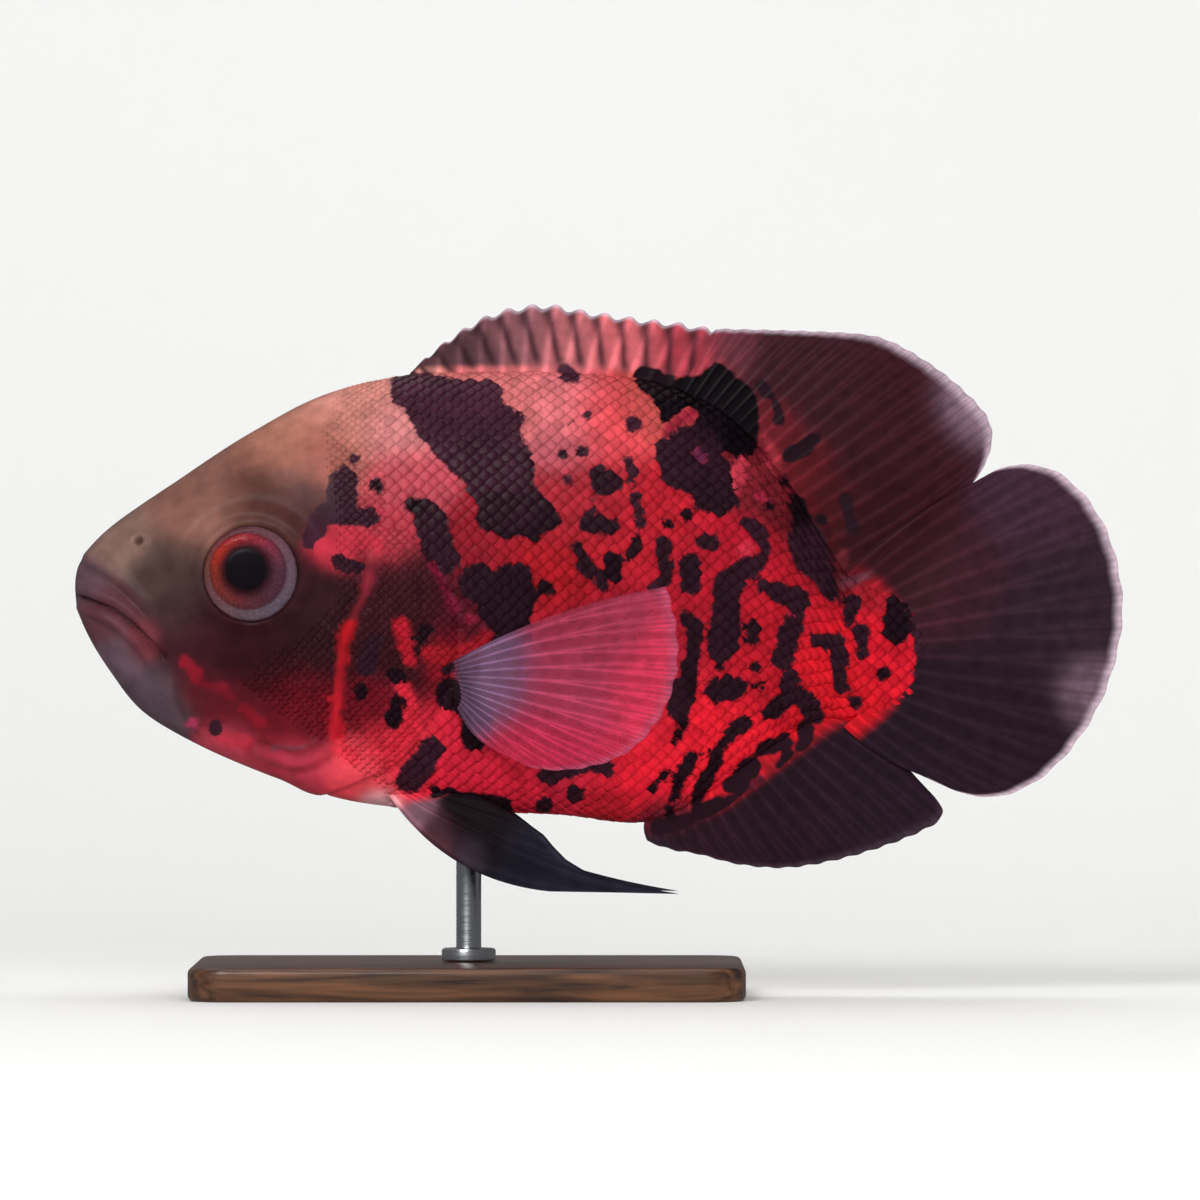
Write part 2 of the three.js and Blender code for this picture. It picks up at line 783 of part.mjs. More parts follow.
// The rod stands on the base in a low collar and ends on the belly, cut to its curve.
function rodSolid() {
  const foot = BASE.height + GAP;
  const top = bellyAt(ROD.x) + 2;
  const rise = new THREE.Vector2(ROD.radius, top);
  const profile = [
    new THREE.Vector2(0, foot),
    new THREE.Vector2(ROD.collar, foot),
    new THREE.Vector2(ROD.collar, foot + ROD.collarHeight - 0.8),
    new THREE.Vector2(ROD.collar - 0.8, foot + ROD.collarHeight),
    new THREE.Vector2(ROD.radius, foot + ROD.collarHeight),
    rise,
    new THREE.Vector2(0, top),
  ];
  const rod = new THREE.LatheGeometry(profile, 24);
  rod.rotateX(Math.PI / 2);
  rod.translate(ROD.x, 0, 0);
  return largest(without(solidOf(rod), bodyClear));
}

// Colours and finishes, from the photo

const wet = (colour, roughness = 0.35) =>
  new THREE.MeshStandardMaterial({ color: colour, roughness, metalness: 0, side: THREE.DoubleSide });
const SKIN_RED = wet(0xb3202b);
const FACE_BROWN = wet(0x6e4a44);
const LIP_PLUM = wet(0x6a4450);
const COVER_MAROON = wet(0x4a1a22);
const FIN_BLACK = wet(0x35202c, 0.4);
const FIN_PINK = wet(0xa8405c, 0.4);
const EYE_RED = wet(0x9c2216, 0.1);
const WALNUT = new THREE.MeshStandardMaterial({ color: 0x5a3a26, roughness: 0.45, metalness: 0 });
const STEEL = new THREE.MeshStandardMaterial({ color: 0xb8babd, roughness: 0.28, metalness: 1 });

function named(name, solid, material) {
  const mesh = new THREE.Mesh(geometryOf(solid), material);
  mesh.name = name;
  return mesh;
}

// A left piece and its mirror image on the right.
function pair(name, solid, material) {
  return [named(`${name}_left`, solid, material), named(`${name}_right`, mirrored(solid), material)];
}

const fish = new THREE.Group();
fish.add(
  named("head", headSolid(), FACE_BROWN),
  named("upper_jaw", upperJaw(), LIP_PLUM),
  named("lower_jaw", lowerJaw(), LIP_PLUM),
  ...pair("gill_cover", gillCover, COVER_MAROON),
  ...pair("eye", eyeSolid(), EYE_RED),
  named("trunk", trunkSolid(), SKIN_RED),
  named("tail_stalk", tailStalk(), SKIN_RED),
  named("dorsal_fin_spiny", onBody(spinyDorsal()), FIN_PINK),
  named("dorsal_fin_soft", onBody(without(softDorsal(), besideTail)), FIN_BLACK),
  named("anal_fin", onBody(without(analFin(), besideTail)), FIN_BLACK),
  named("tail_fin", onBody(tailFin().intersect(tailRoom(0))), FIN_BLACK),
  ...pair("pectoral_fin", onBody(pectoralFin()), FIN_PINK),
  ...pair("pelvic_fin", onBody(pelvicFin()), FIN_BLACK),
);

const stand = new THREE.Group();
stand.add(named("stand_base", baseSolid(), WALNUT), named("stand_rod", rodSolid(), STEEL));

const model = new THREE.Group();
model.add(fish, stand);

export default model;
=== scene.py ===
"""A red tiger oscar, life size, held over a walnut base by one steel rod.

The fish's skin is one smooth body, laid with solid scales. Fins are thin sheets with raised rays.
All shapes are worked out in millimetres, in the model's own frame, and put into meshes in metres:
the snout points to -X, the fish's left side to -Y, and the floor is at zero height.
"""

import logging
import math
from dataclasses import dataclass, field
from enum import Enum
from typing import Any, Callable

import bmesh
import bpy
import numpy as np
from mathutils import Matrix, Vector


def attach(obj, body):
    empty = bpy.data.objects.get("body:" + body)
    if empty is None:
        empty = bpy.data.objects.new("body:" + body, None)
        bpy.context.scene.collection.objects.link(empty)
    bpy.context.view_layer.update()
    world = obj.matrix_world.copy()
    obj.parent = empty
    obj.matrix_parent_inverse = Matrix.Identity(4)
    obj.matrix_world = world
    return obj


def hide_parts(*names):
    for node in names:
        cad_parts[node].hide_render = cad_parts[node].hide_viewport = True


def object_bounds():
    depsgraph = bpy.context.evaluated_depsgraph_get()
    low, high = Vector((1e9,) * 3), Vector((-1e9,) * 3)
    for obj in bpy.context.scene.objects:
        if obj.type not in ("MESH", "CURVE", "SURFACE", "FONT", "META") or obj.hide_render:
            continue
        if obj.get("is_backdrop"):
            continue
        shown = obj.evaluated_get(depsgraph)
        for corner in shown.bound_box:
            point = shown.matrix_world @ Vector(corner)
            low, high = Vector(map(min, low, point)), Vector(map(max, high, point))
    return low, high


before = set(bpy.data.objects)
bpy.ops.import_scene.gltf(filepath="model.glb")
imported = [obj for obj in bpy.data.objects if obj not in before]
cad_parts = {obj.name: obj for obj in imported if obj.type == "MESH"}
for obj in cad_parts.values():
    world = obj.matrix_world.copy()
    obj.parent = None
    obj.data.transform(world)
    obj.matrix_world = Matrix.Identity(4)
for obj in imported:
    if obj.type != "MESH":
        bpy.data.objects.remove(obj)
CAD_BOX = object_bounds()

LOG = logging.getLogger("oscar")

MM = 0.001
BODY = "root"
BAKE_MAP = "OFBake"

# The photograph: its width in pixels, the real size of one, and where its pixels lie in the frame
PHOTO_WIDTH = 1200
PHOTO_MM = 0.24
PHOTO_MIDDLE_COLUMN = 600.5
PHOTO_FLOOR_ROW = 995.0

Points = np.ndarray
Values = np.ndarray
Pixels = tuple[tuple[float, float], ...]
Range = tuple[float, float]
Profile = list[tuple[float, float]]
Socket = bpy.types.NodeSocket

# The blotches' ink, where it is darkest and where it is lightest; it also paints the shadows under
# two fin roots
INK_BLACK = "#0A0408"
INK_PLUM = "#44202F"

# Noise from 0 to 1 seldom leaves this part of its range
NOISE_REACH: Range = (0.3, 0.7)


class Side(Enum):
    """Which flank of the fish a piece is on."""

    LEFT = -1
    RIGHT = 1


def linear(colour: str) -> tuple[float, float, float]:
    """Turns an sRGB hex colour into linear values.

    Args:
        colour: the colour as "#RRGGBB".

    Returns:
        Red, green and blue, each from 0 to 1.
    """
    shares = (int(colour[i : i + 2], 16) / 255 for i in (1, 3, 5))
    return tuple(s / 12.92 if s <= 0.04045 else ((s + 0.055) / 1.055) ** 2.4 for s in shares)


def opaque(colour: str) -> tuple[float, float, float, float]:
    """An sRGB hex colour as linear values with full alpha."""
    return (*linear(colour), 1.0)


def ease(value: Values, low: float, high: float) -> Values:
    """Rises smoothly from 0 at low to 1 at high.

    Args:
        value: where to look.
        low: where the rise starts.
        high: where it ends.

    Returns:
        The share risen, from 0 to 1.
    """
    share = np.clip((value - low) / (high - low), 0, 1)
    return share * share * (3 - 2 * share)


def hump(value: Values, width: float) -> Values:
    """A smooth hump of height 1 over zero, with the given half width."""
    return np.exp(-((value / width) ** 2))


def blend(under: Points, over: Any, share: Values) -> Points:
    """Goes over from one colour to another at each point, by a share from 0 to 1."""
    return under + share[:, None] * (np.asarray(over) - under)


def from_photo(pixels: Pixels) -> Points:
    """Places pixels of the photograph in the fish's middle plane.

    Args:
        pixels: columns and rows of the photograph.

    Returns:
        x and z in millimetres, one row each.
    """
    spots = np.array(pixels, float).reshape(-1, 2)
    x = (spots[:, 0] - PHOTO_MIDDLE_COLUMN) * PHOTO_MM
    z = (PHOTO_FLOOR_ROW - spots[:, 1]) * PHOTO_MM
    return np.stack([x, z], 1)


def distance_to_line(spots: Points, line: Points) -> Values:
    """How far points are from a line of straight pieces.

    Args:
        spots: x and z of each point.
        line: x and z of each corner of the line; one corner is a single point.

    Returns:
        The distance of each point.
    """
    if len(line) == 1:
        return np.hypot(*(spots - line[0]).T)
    nearest = np.full(len(spots), np.inf)
    for start, end in zip(line[:-1], line[1:]):
        along = end - start
        share = np.clip((spots - start) @ along / (along @ along), 0, 1)
        away = spots - start - share[:, None] * along
        nearest = np.minimum(nearest, np.einsum("ij,ij->i", away, away))
    return np.sqrt(nearest)


def smooth_line(corners: Points, pieces: int) -> Points:
    """A smooth line through a few points, evenly spaced along its length.

    Args:
        corners: the points it passes through.
        pieces: how many straight pieces to give back.

    Returns:
        pieces + 1 points.
    """
    padded = np.vstack([2 * corners[0] - corners[1], corners, 2 * corners[-1] - corners[-2]])
    dense = []
    for a, b, c, d in zip(padded[:-3], padded[1:-2], padded[2:-1], padded[3:]):
        share = np.linspace(0, 1, 24, endpoint=False)[:, None]
        dense.append(
            0.5
            * (
                2 * b
                + (c - a) * share
                + (2 * a - 5 * b + 4 * c - d) * share**2
                + (3 * b - a - 3 * c + d) * share**3
            )
        )
    dense = np.vstack([*dense, corners[-1:]])
    length = np.concatenate([[0], np.cumsum(np.hypot(*np.diff(dense, axis=0).T))])
    even = np.linspace(0, length[-1], pieces + 1)
    return np.stack([np.interp(even, length, dense[:, i]) for i in range(2)], 1)


@dataclass
class Grain:
    """Smooth seeded noise over the side view, from -1 to 1."""

    seed: int
    size: float
    cells: int = 64
    table: Values = field(init=False)

    def __post_init__(self) -> None:
        """Draws the values at the corners of the cells."""
        self.table = np.random.default_rng(self.seed).uniform(-1, 1, (self.cells, self.cells))

    def at(self, x: Values, z: Values) -> Values:
        """The noise at places.

        Args:
            x: places along the fish.
            z: heights.

        Returns:
            One value for each place.
        """
        u, v = x / self.size, z / self.size
        i, j = np.floor(u).astype(int), np.floor(v).astype(int)
        s, t = ease(u - i, 0, 1), ease(v - j, 0, 1)
        corner = lambda di, dj: self.table[(i + di) % self.cells, (j + dj) % self.cells]
        low = corner(0, 0) * (1 - s) + corner(1, 0) * s
        high = corner(0, 1) * (1 - s) + corner(1, 1) * s
        return low * (1 - t) + high * t


# The body's outline at stations: mm behind the snout, height of the back and of the belly, and half
# the thickness. These are the solid's stations, but the last ones run out thin over the tail fin's
# root, as the scaled skin of the stalk does.
STATIONS = np.array(
    [
        (0, 98.2, 98.2, 0),
        (1, 103.6, 91.4, 6),
        (3.4, 107.3, 85.8, 9),
        (8.2, 112.1, 78.0, 11.8),
        (15.4, 117.4, 68.8, 14),
        (25, 123.8, 62.4, 16.2),
        (42.7, 135.3, 54.2, 19),
        (61, 144.8, 47.8, 21.4),
        (77.8, 148.8, 44.6, 22.4),
        (94.6, 149.8, 43.8, 21.9),
        (116.2, 149.8, 43.1, 19.7),
        (135.4, 148.4, 41.2, 16.6),
        (147.4, 145.0, 45.2, 14.2),
        (159.4, 137.8, 53.4, 11.6),
        (171.4, 124.1, 61.8, 8.8),
        (178.6, 112.3, 65.3, 7.2),
        (184.6, 103.2, 65.4, 5.6),
        (189.4, 101.2, 64.8, 4.4),
        (195.4, 99.6, 66.0, 3.2),
        (202, 98.0, 67.4, 1.8),
        (208, 93.6, 71.6, 0.7),
        (210.6, 82.4, 82.4, 0),
    ]
)

# Lines on the head, in pixels of the photograph
GAPE: Pixels = ((74, 594), (92, 600), (119, 612), (146, 634), (166, 657))
LIP_FOLD: Pixels = ((92, 559), (98, 562), (115, 572), (135, 590), (155, 612), (170, 640), (182, 668))
CHIN_LINE: Pixels = ((182, 668), (178, 690), (184, 715), (200, 738))
CHEEK_EDGE: Pixels = (
    (374, 556),
    (368, 593),
    (352, 625),
    (343, 652),
    (340, 690),
    (338, 722),
    (326, 752),
    (296, 764),
    (262, 752),
)
GILL_EDGE: Pixels = (
    (404, 528),
    (425, 552),
    (446, 590),
    (455, 625),
    (450, 670),
    (430, 720),
    (400, 760),
    (350, 785),
    (300, 800),
)
EYE_SPOT: Pixels = ((254, 574),)
NOSTRIL_SPOT: Pixels = ((141, 541),)


@dataclass(frozen=True)
class Ridge:
    """A rounded ridge that follows a line, or a groove where its height is below zero."""

    height: float
    away: float
    width: float

    def at(self, distance: Values) -> Values:
        """How high it stands at distances from the line."""
        return self.height * hump(distance - self.away, self.width)


@dataclass
class BodyShape:
    """The fish's body without its fins, as a smooth surface with the head's creases and rims."""

    snout: float = -126.0
    length: float = 210.6
    widest_share: float = 0.53
    snout_roundness: float = 0.84
    back_ridge: float = 1.22
    ridge_rises: Range = (25.0, 110.0)
    belly_roundness: float = 0.86
    stalk_roundness: float = 1.05
    stalk_rounds: Range = (120.0, 175.0)
    plain_tip: Range = (0.1, 2.4)

    lips: Ridge = Ridge(1.5, 2.3, 1.5)
    mouth_corner: Range = (-110.0, -103.0)
    gape_groove: Ridge = Ridge(-1.5, 0.0, 0.42)
    fold_ridge: Ridge = Ridge(0.6, 0.0, 1.6)
    fold_groove: Ridge = Ridge(-0.6, 2.1, 1.0)
    fold_edge: Range = (-0.3, 1.0)
    fold_foot: Range = (78.0, 84.0)
    fold_top: Range = (103.0, 106.0)
    chin_groove: Ridge = Ridge(-0.5, 0.0, 0.8)

    eye_radius: float = 11.2
    socket_depth: float = 5.0
    socket_wall: Range = (-1.4, 0.3)
    eye_rim: Ridge = Ridge(0.5, 1.2, 1.3)
    eye_groove: Ridge = Ridge(-0.35, 3.6, 1.8)
    brow: Ridge = Ridge(0.6, 6.8, 3.2)
    brow_rise: float = 12.0

    nostril_radius: float = 1.15
    nostril_depth: float = 1.8
    nostril_wall: Range = (-0.65, 0.0)
    nostril_rim: Ridge = Ridge(0.4, 0.6, 0.6)

    cheek_rim: Ridge = Ridge(0.5, 0.0, 1.2)
    cheek_groove: Ridge = Ridge(-0.5, 2.2, 0.9)
    cover_step: float = 0.9
    cover_edge: Range = (-0.5, 0.7)
    cover_slope: Range = (4.0, 20.0)
    cover_groove: Ridge = Ridge(-0.45, -1.4, 0.9)
    cover_foot: Range = (-1.0, 3.0)
    cover_top: Range = (-5.0, 1.0)

    def __post_init__(self) -> None:
        """Places the stations along the body and the lines on the head."""
        self.knots = self.along_of(STATIONS[:, 0] + self.snout)
        self.gape = smooth_line(from_photo(GAPE), 24)
        self.lip_fold = smooth_line(from_photo(LIP_FOLD), 24)
        self.chin_line = smooth_line(from_photo(CHIN_LINE), 12)
        self.cheek_edge = smooth_line(from_photo(CHEEK_EDGE), 40)
        self.gill_edge = smooth_line(from_photo(GILL_EDGE), 48)
        self.eye = from_photo(EYE_SPOT)[0]
        self.nostril = from_photo(NOSTRIL_SPOT)[0]

    def along_of(self, x: Values) -> Values:
        """How far along the body places are, close-set at both round ends.

        Args:
            x: places along the fish.

        Returns:
            Shares from 0 at the snout to 1 at the end of the stalk.
        """
        share = np.clip((x - self.snout) / self.length, 0, 1)
        return np.arccos(1 - 2 * share) / math.pi

    def station_value(self, column: int, along: Values) -> Values:
        """One column of the stations, as a smooth curve.

        Args:
            column: which column.
            along: shares along the body.

        Returns:
            The value at each share.
        """
        values = STATIONS[:, column]
        last = len(values) - 1
        low = np.maximum(np.arange(last + 1) - 1, 0)
        high = np.minimum(np.arange(last + 1) + 1, last)
        slopes = (values[high] - values[low]) / (self.knots[high] - self.knots[low])
        i = np.clip(np.searchsorted(self.knots, along, side="right") - 1, 0, last - 1)
        step = self.knots[i + 1] - self.knots[i]
        s = np.clip((along - self.knots[i]) / step, 0, 1)
        s2, s3 = s * s, s * s * s
        start = (2 * s3 - 3 * s2 + 1) * values[i] + (s3 - 2 * s2 + s) * slopes[i] * step
        end = (3 * s2 - 2 * s3) * values[i + 1] + (s3 - s2) * slopes[i + 1] * step
        return start + end

    def section(self, along: Values) -> dict[str, Values]:
        """The cross-section at shares of the body's length.

        Args:
            along: shares along the body.

        Returns:
            Its place, top, bottom, middle and half thickness, and how round it is above and below.
        """
        at = self.length / 2 * (1 - np.cos(np.pi * along))
        top, bottom = self.station_value(1, along), self.station_value(2, along)
        ridge, stalk = ease(at, *self.ridge_rises), ease(at, *self.stalk_rounds)
        return {
            "x": self.snout + at,
            "top": top,
            "bottom": bottom,
            "middle": bottom + self.widest_share * (top - bottom),
            "half": self.station_value(3, along),
            "above": self.snout_roundness + (self.back_ridge - self.snout_roundness) * ridge,
            "below": self.belly_roundness + (self.stalk_roundness - self.belly_roundness) * stalk,
        }

    def smooth_point(self, along: Values, turn: Values) -> Points:
        """Points of the body with no creases.

        Args:
            along: shares along the body.
            turn: angles round it, from 0 at the back, positive on the right side.

        Returns:
            One point in a row.
        """
        cut = self.section(along)
        rise, side = np.cos(turn), np.sin(turn)
        over = rise > 0
        reach = np.where(over, cut["top"] - cut["middle"], cut["middle"] - cut["bottom"])
        bulge = np.abs(side) ** np.where(over, cut["above"], cut["below"])
        return np.stack(
            [cut["x"], cut["half"] * bulge * np.sign(side), cut["middle"] + reach * rise], 1
        )

    def half_thickness(self, x: Values, z: Values) -> Values:
        """Half the body's thickness at places in the side view.

        Args:
            x: places along the fish.
            z: heights.

        Returns:
            The distance from the middle plane to the skin.
        """
        cut = self.section(self.along_of(x))
        over = z > cut["middle"]
        reach = np.where(over, cut["top"] - cut["middle"], cut["middle"] - cut["bottom"])
        rise = np.clip(np.abs(z - cut["middle"]) / np.maximum(reach, 0.01), 0, 1)
        round_ = np.where(over, cut["above"], cut["below"])
        return cut["half"] * np.sqrt(1 - rise * rise) ** round_

    def ahead_of_gill(self, spots: Points) -> Values:
        """How far in front of the gill cover's rear edge places are.

        Args:
            spots: x and z of the places.

        Returns:
            Millimetres, below zero behind the edge.
        """
        order = np.argsort(self.gill_edge[:, 1])
        edge = np.interp(spots[:, 1], self.gill_edge[order, 1], self.gill_edge[order, 0])
        return edge - spots[:, 0]

    def relief(self, spots: Points) -> Values:
        """How far the head's lips, rims and creases stand out of the smooth body.

        Args:
            spots: x and z of places in the side view.

        Returns:
            Millimetres out of the skin, below zero in a crease.
        """
        x, z = spots.T

        # Thick lips meet in a crease that ends at the corner of the mouth
        gape = distance_to_line(spots, self.gape)
        rise = self.lips.at(gape) * (1 - ease(x, *self.mouth_corner)) + self.gape_groove.at(gape)

        # The upper lip slides under a soft fold that runs down from the snout
        fold = distance_to_line(spots, self.lip_fold)
        ahead = np.interp(z, self.lip_fold[::-1, 1], self.lip_fold[::-1, 0]) - x
        high = ease(z, *self.fold_foot) * (1 - ease(z, *self.fold_top))
        under_fold = ease(ahead, *self.fold_edge) * high
        rise += self.fold_ridge.at(fold) + self.fold_groove.at(fold) * under_fold
        rise += self.chin_groove.at(distance_to_line(spots, self.chin_line))

        # The socket, the skin's rim round the eye, the groove behind it and the brow
        off_eye = np.hypot(x - self.eye[0], z - self.eye[1]) - self.eye_radius
        rise -= self.socket_depth * (1 - ease(off_eye, *self.socket_wall))
        rise += self.eye_rim.at(off_eye) + self.eye_groove.at(off_eye)
        rise += self.brow.at(off_eye) * ease(z - self.eye[1], 0, self.brow_rise)

        # One nostril on each side, in a low rim
        off_nostril = np.hypot(x - self.nostril[0], z - self.nostril[1]) - self.nostril_radius
        rise -= self.nostril_depth * (1 - ease(off_nostril, *self.nostril_wall))
        rise += self.nostril_rim.at(off_nostril)

        # The cheek's rear edge, and the gill cover that overlaps the flank
        cheek = distance_to_line(spots, self.cheek_edge)
        rise += self.cheek_rim.at(cheek) + self.cheek_groove.at(cheek)
        ahead = self.ahead_of_gill(spots)
        foot = ease(z - self.gill_edge[-1, 1], *self.cover_foot)
        cover = foot * (1 - ease(z - self.gill_edge[0, 1], *self.cover_top))
        plate = ease(ahead, *self.cover_edge) * (1 - ease(ahead, *self.cover_slope))
        return rise + cover * (self.cover_step * plate + self.cover_groove.at(ahead))

    def surface(self, along: Values, turn: Values, lift: Values | float = 0.0) -> Points:
        """Points of the creased body, moved out along the smooth body's normals.

        Args:
            along: shares along the body.
            turn: angles round it.
            lift: millimetres further out.

        Returns:
            One point in a row.
        """
        spots = self.smooth_point(along, turn)
        out = self.normals(along, turn)
        rise = self.relief(spots[:, [0, 2]]) * ease(spots[:, 0] - self.snout, *self.plain_tip)
        return spots + out * (rise + lift)[:, None]

    def normals(self, along: Values, turn: Values) -> Points:
        """The smooth body's normals, pointing out.

        Args:
            along: shares along the body.
            turn: angles round it.

        Returns:
            One unit vector in a row.
        """
        small = 1e-4
        inner = np.clip(along, small, 1 - small)
        forward = self.smooth_point(inner + small, turn) - self.smooth_point(inner - small, turn)
        round_ = self.smooth_point(inner, turn + small) - self.smooth_point(inner, turn - small)
        out = np.cross(forward, round_)
        return out / np.maximum(np.linalg.norm(out, axis=1, keepdims=True), 1e-12)


@dataclass(frozen=True)
class Mark:
    """A blotch, streak or painted shadow: a line of pixels, a half width, and how light its ink is.
    """

    path: Pixels
    half_width: float
    tone: float = 0.25


@dataclass(frozen=True)
class Glow:
    """A streak of brighter skin that lies over the blotches."""

    path: Pixels
    half_width: float
    colour: str


@dataclass(frozen=True)
class Zone:
    """A region of the skin's colour under the blotches, with a soft reach; the breast rim's is a
    painted highlight.
    """

    name: str
    centre: tuple[float, float]
    reach: float
    colour: str


FLESH_ZONES = (
    Zone("snout tip", (88, 580), 16, "#5F4650"),
    Zone("snout bridge", (120, 535), 26, "#7C6158"),
    Zone("forehead", (200, 485), 40, "#80594F"),
    Zone("crown", (285, 435), 36, "#A06C5C"),
    Zone("nape front", (350, 405), 36, "#C28175"),
    Zone("nape rose", (398, 428), 26, "#C97F80"),
    Zone("nape red", (405, 478), 26, "#AC4450"),
    Zone("temple", (330, 455), 26, "#8F5148"),
    Zone("brow", (262, 492), 30, "#4C2D29"),
    Zone("behind the brow", (305, 500), 22, "#4B2A2B"),
    Zone("snout side", (168, 575), 26, "#443330"),
    Zone("below the nostril", (185, 610), 22, "#412C2E"),
    Zone("upper lip", (112, 612), 20, "#5D373F"),
    Zone("lip corner", (146, 640), 14, "#6B343B"),
    Zone("lower lip", (122, 655), 14, "#5F4A54"),
    Zone("chin", (160, 700), 22, "#54434B"),
    Zone("cheek under the eye", (250, 645), 45, "#301118"),
    Zone("cheek front", (205, 640), 28, "#3C1B22"),
    Zone("cheek rear", (315, 620), 36, "#33191E"),
    Zone("jaw angle", (200, 685), 18, "#5A1B23"),
    Zone("lower cheek", (300, 712), 30, "#63121E"),
    Zone("lower cheek front", (240, 705), 22, "#5E1721"),
    Zone("gular edge", (232, 745), 18, "#AE3D4E"),
    Zone("throat", (300, 772), 26, "#AE384A"),
    Zone("throat red", (355, 775), 24, "#DC4A56"),
    Zone("breast", (395, 745), 22, "#C42C3C"),
    # A painted highlight: a pale pink line along the breast's lower edge
    Zone("breast rim highlight", (375, 806), 12, "#E8B4BA"),
    Zone("behind the eye", (340, 545), 16, "#AC3040"),
    Zone("over the gill", (395, 535), 22, "#A43542"),
    Zone("gill cover top", (415, 590), 32, "#3B181F"),
    Zone("gill cover", (385, 640), 30, "#39161C"),
    Zone("gill cover foot", (375, 705), 22, "#66111F"),
    Zone("shoulder red", (485, 548), 26, "#861A28"),
    Zone("shoulder", (470, 620), 34, "#4A1320"),
    Zone("under the shoulder", (455, 655), 18, "#86141F"),
    Zone("saddle edge", (520, 400), 30, "#C66E6E"),
    Zone("upper flank", (560, 405), 36, "#CC7076"),
    Zone("upper flank rose", (605, 415), 30, "#CE464E"),
    Zone("upper flank grey", (560, 445), 22, "#AC5560"),
    Zone("upper flank brown", (640, 400), 26, "#A84A46"),
    Zone("flank", (575, 505), 40, "#982632"),
    Zone("flank middle", (560, 575), 40, "#98161F"),
    Zone("flank behind", (640, 540), 40, "#A81E2C"),
    Zone("flank under the fin", (600, 690), 60, "#B03048"),
    Zone("belly front", (500, 770), 40, "#C4243A"),
    Zone("belly", (640, 752), 40, "#E42034"),
    Zone("belly rear", (700, 725), 36, "#D81E30"),
    Zone("belly edge", (610, 806), 18, "#A8202C"),
    Zone("anal fin root", (665, 830), 24, "#54222E"),
    Zone("network", (710, 600), 46, "#9E1829"),
    Zone("network rear", (760, 640), 40, "#A81727"),
    Zone("stalk red", (830, 680), 36, "#BE1624"),
    Zone("stalk rear", (885, 650), 28, "#C0182A"),
    Zone("above the ocellus", (880, 590), 20, "#8E1A26"),
    Zone("back rear", (770, 450), 36, "#6E1E28"),
    Zone("back dusk", (825, 480), 36, "#4E1218"),
    Zone("back low", (850, 540), 30, "#3C1218"),
    Zone("stalk end", (935, 640), 16, "#441B26"),
)

FIN_ZONES = (
    Zone("fin front", (460, 350), 30, "#583A40"),
    Zone("fin fore middle", (520, 335), 26, "#86565C"),
    Zone("fin middle", (570, 345), 26, "#B0666A"),
    Zone("fin rose", (625, 350), 30, "#C4646A"),
    Zone("fin red", (685, 352), 30, "#A03C48"),
    Zone("fin end", (728, 345), 20, "#5A2E38"),
    Zone("soft dorsal", (815, 375), 44, "#3A1A23"),
    Zone("soft dorsal rear", (900, 420), 50, "#38161F"),
    Zone("soft dorsal margin", (972, 400), 26, "#7C6474"),
    Zone("soft dorsal low", (890, 520), 44, "#34121A"),
    Zone("tail base", (965, 580), 40, "#3E1E28"),
    Zone("tail top", (1030, 510), 36, "#3E2634"),
    Zone("tail middle", (1050, 610), 50, "#30202A"),
    Zone("tail low", (1000, 710), 50, "#2A1A24"),
    Zone("tail pale patch", (1088, 690), 22, "#66505C"),
    Zone("anal fin front", (710, 835), 36, "#301A24"),
    Zone("anal fin", (800, 800), 50, "#2A1822"),
    Zone("anal fin rear", (890, 800), 44, "#281924"),
    Zone("soft dorsal root", (775, 425), 20, "#6A1E27"),
    Zone("soft dorsal foot", (806, 462), 20, "#56181E"),
    Zone("soft dorsal heel", (838, 505), 20, "#48161C"),
    Zone("pelvic root", (412, 812), 14, "#7C5864"),
    Zone("pelvic front", (438, 838), 15, "#4A2A34"),
    Zone("pelvic streak", (472, 848), 11, "#3C303C"),
    Zone("pelvic", (482, 822), 24, "#170C12"),
    Zone("pelvic rear", (530, 848), 20, "#1D1A26"),
    Zone("pelvic tip", (600, 882), 50, "#242430"),
)

BREAST_FIN_ZONES = (
    Zone("breast fin root", (455, 680), 22, "#4A3A4C"),
    Zone("breast fin base", (500, 680), 26, "#7A5A78"),
    Zone("breast fin middle", (565, 690), 34, "#A8425F"),
    Zone("breast fin upper", (600, 635), 34, "#9A3A52"),
    Zone("breast fin lower", (560, 750), 34, "#B83050"),
    Zone("breast fin tip", (655, 680), 34, "#C83A58"),
)

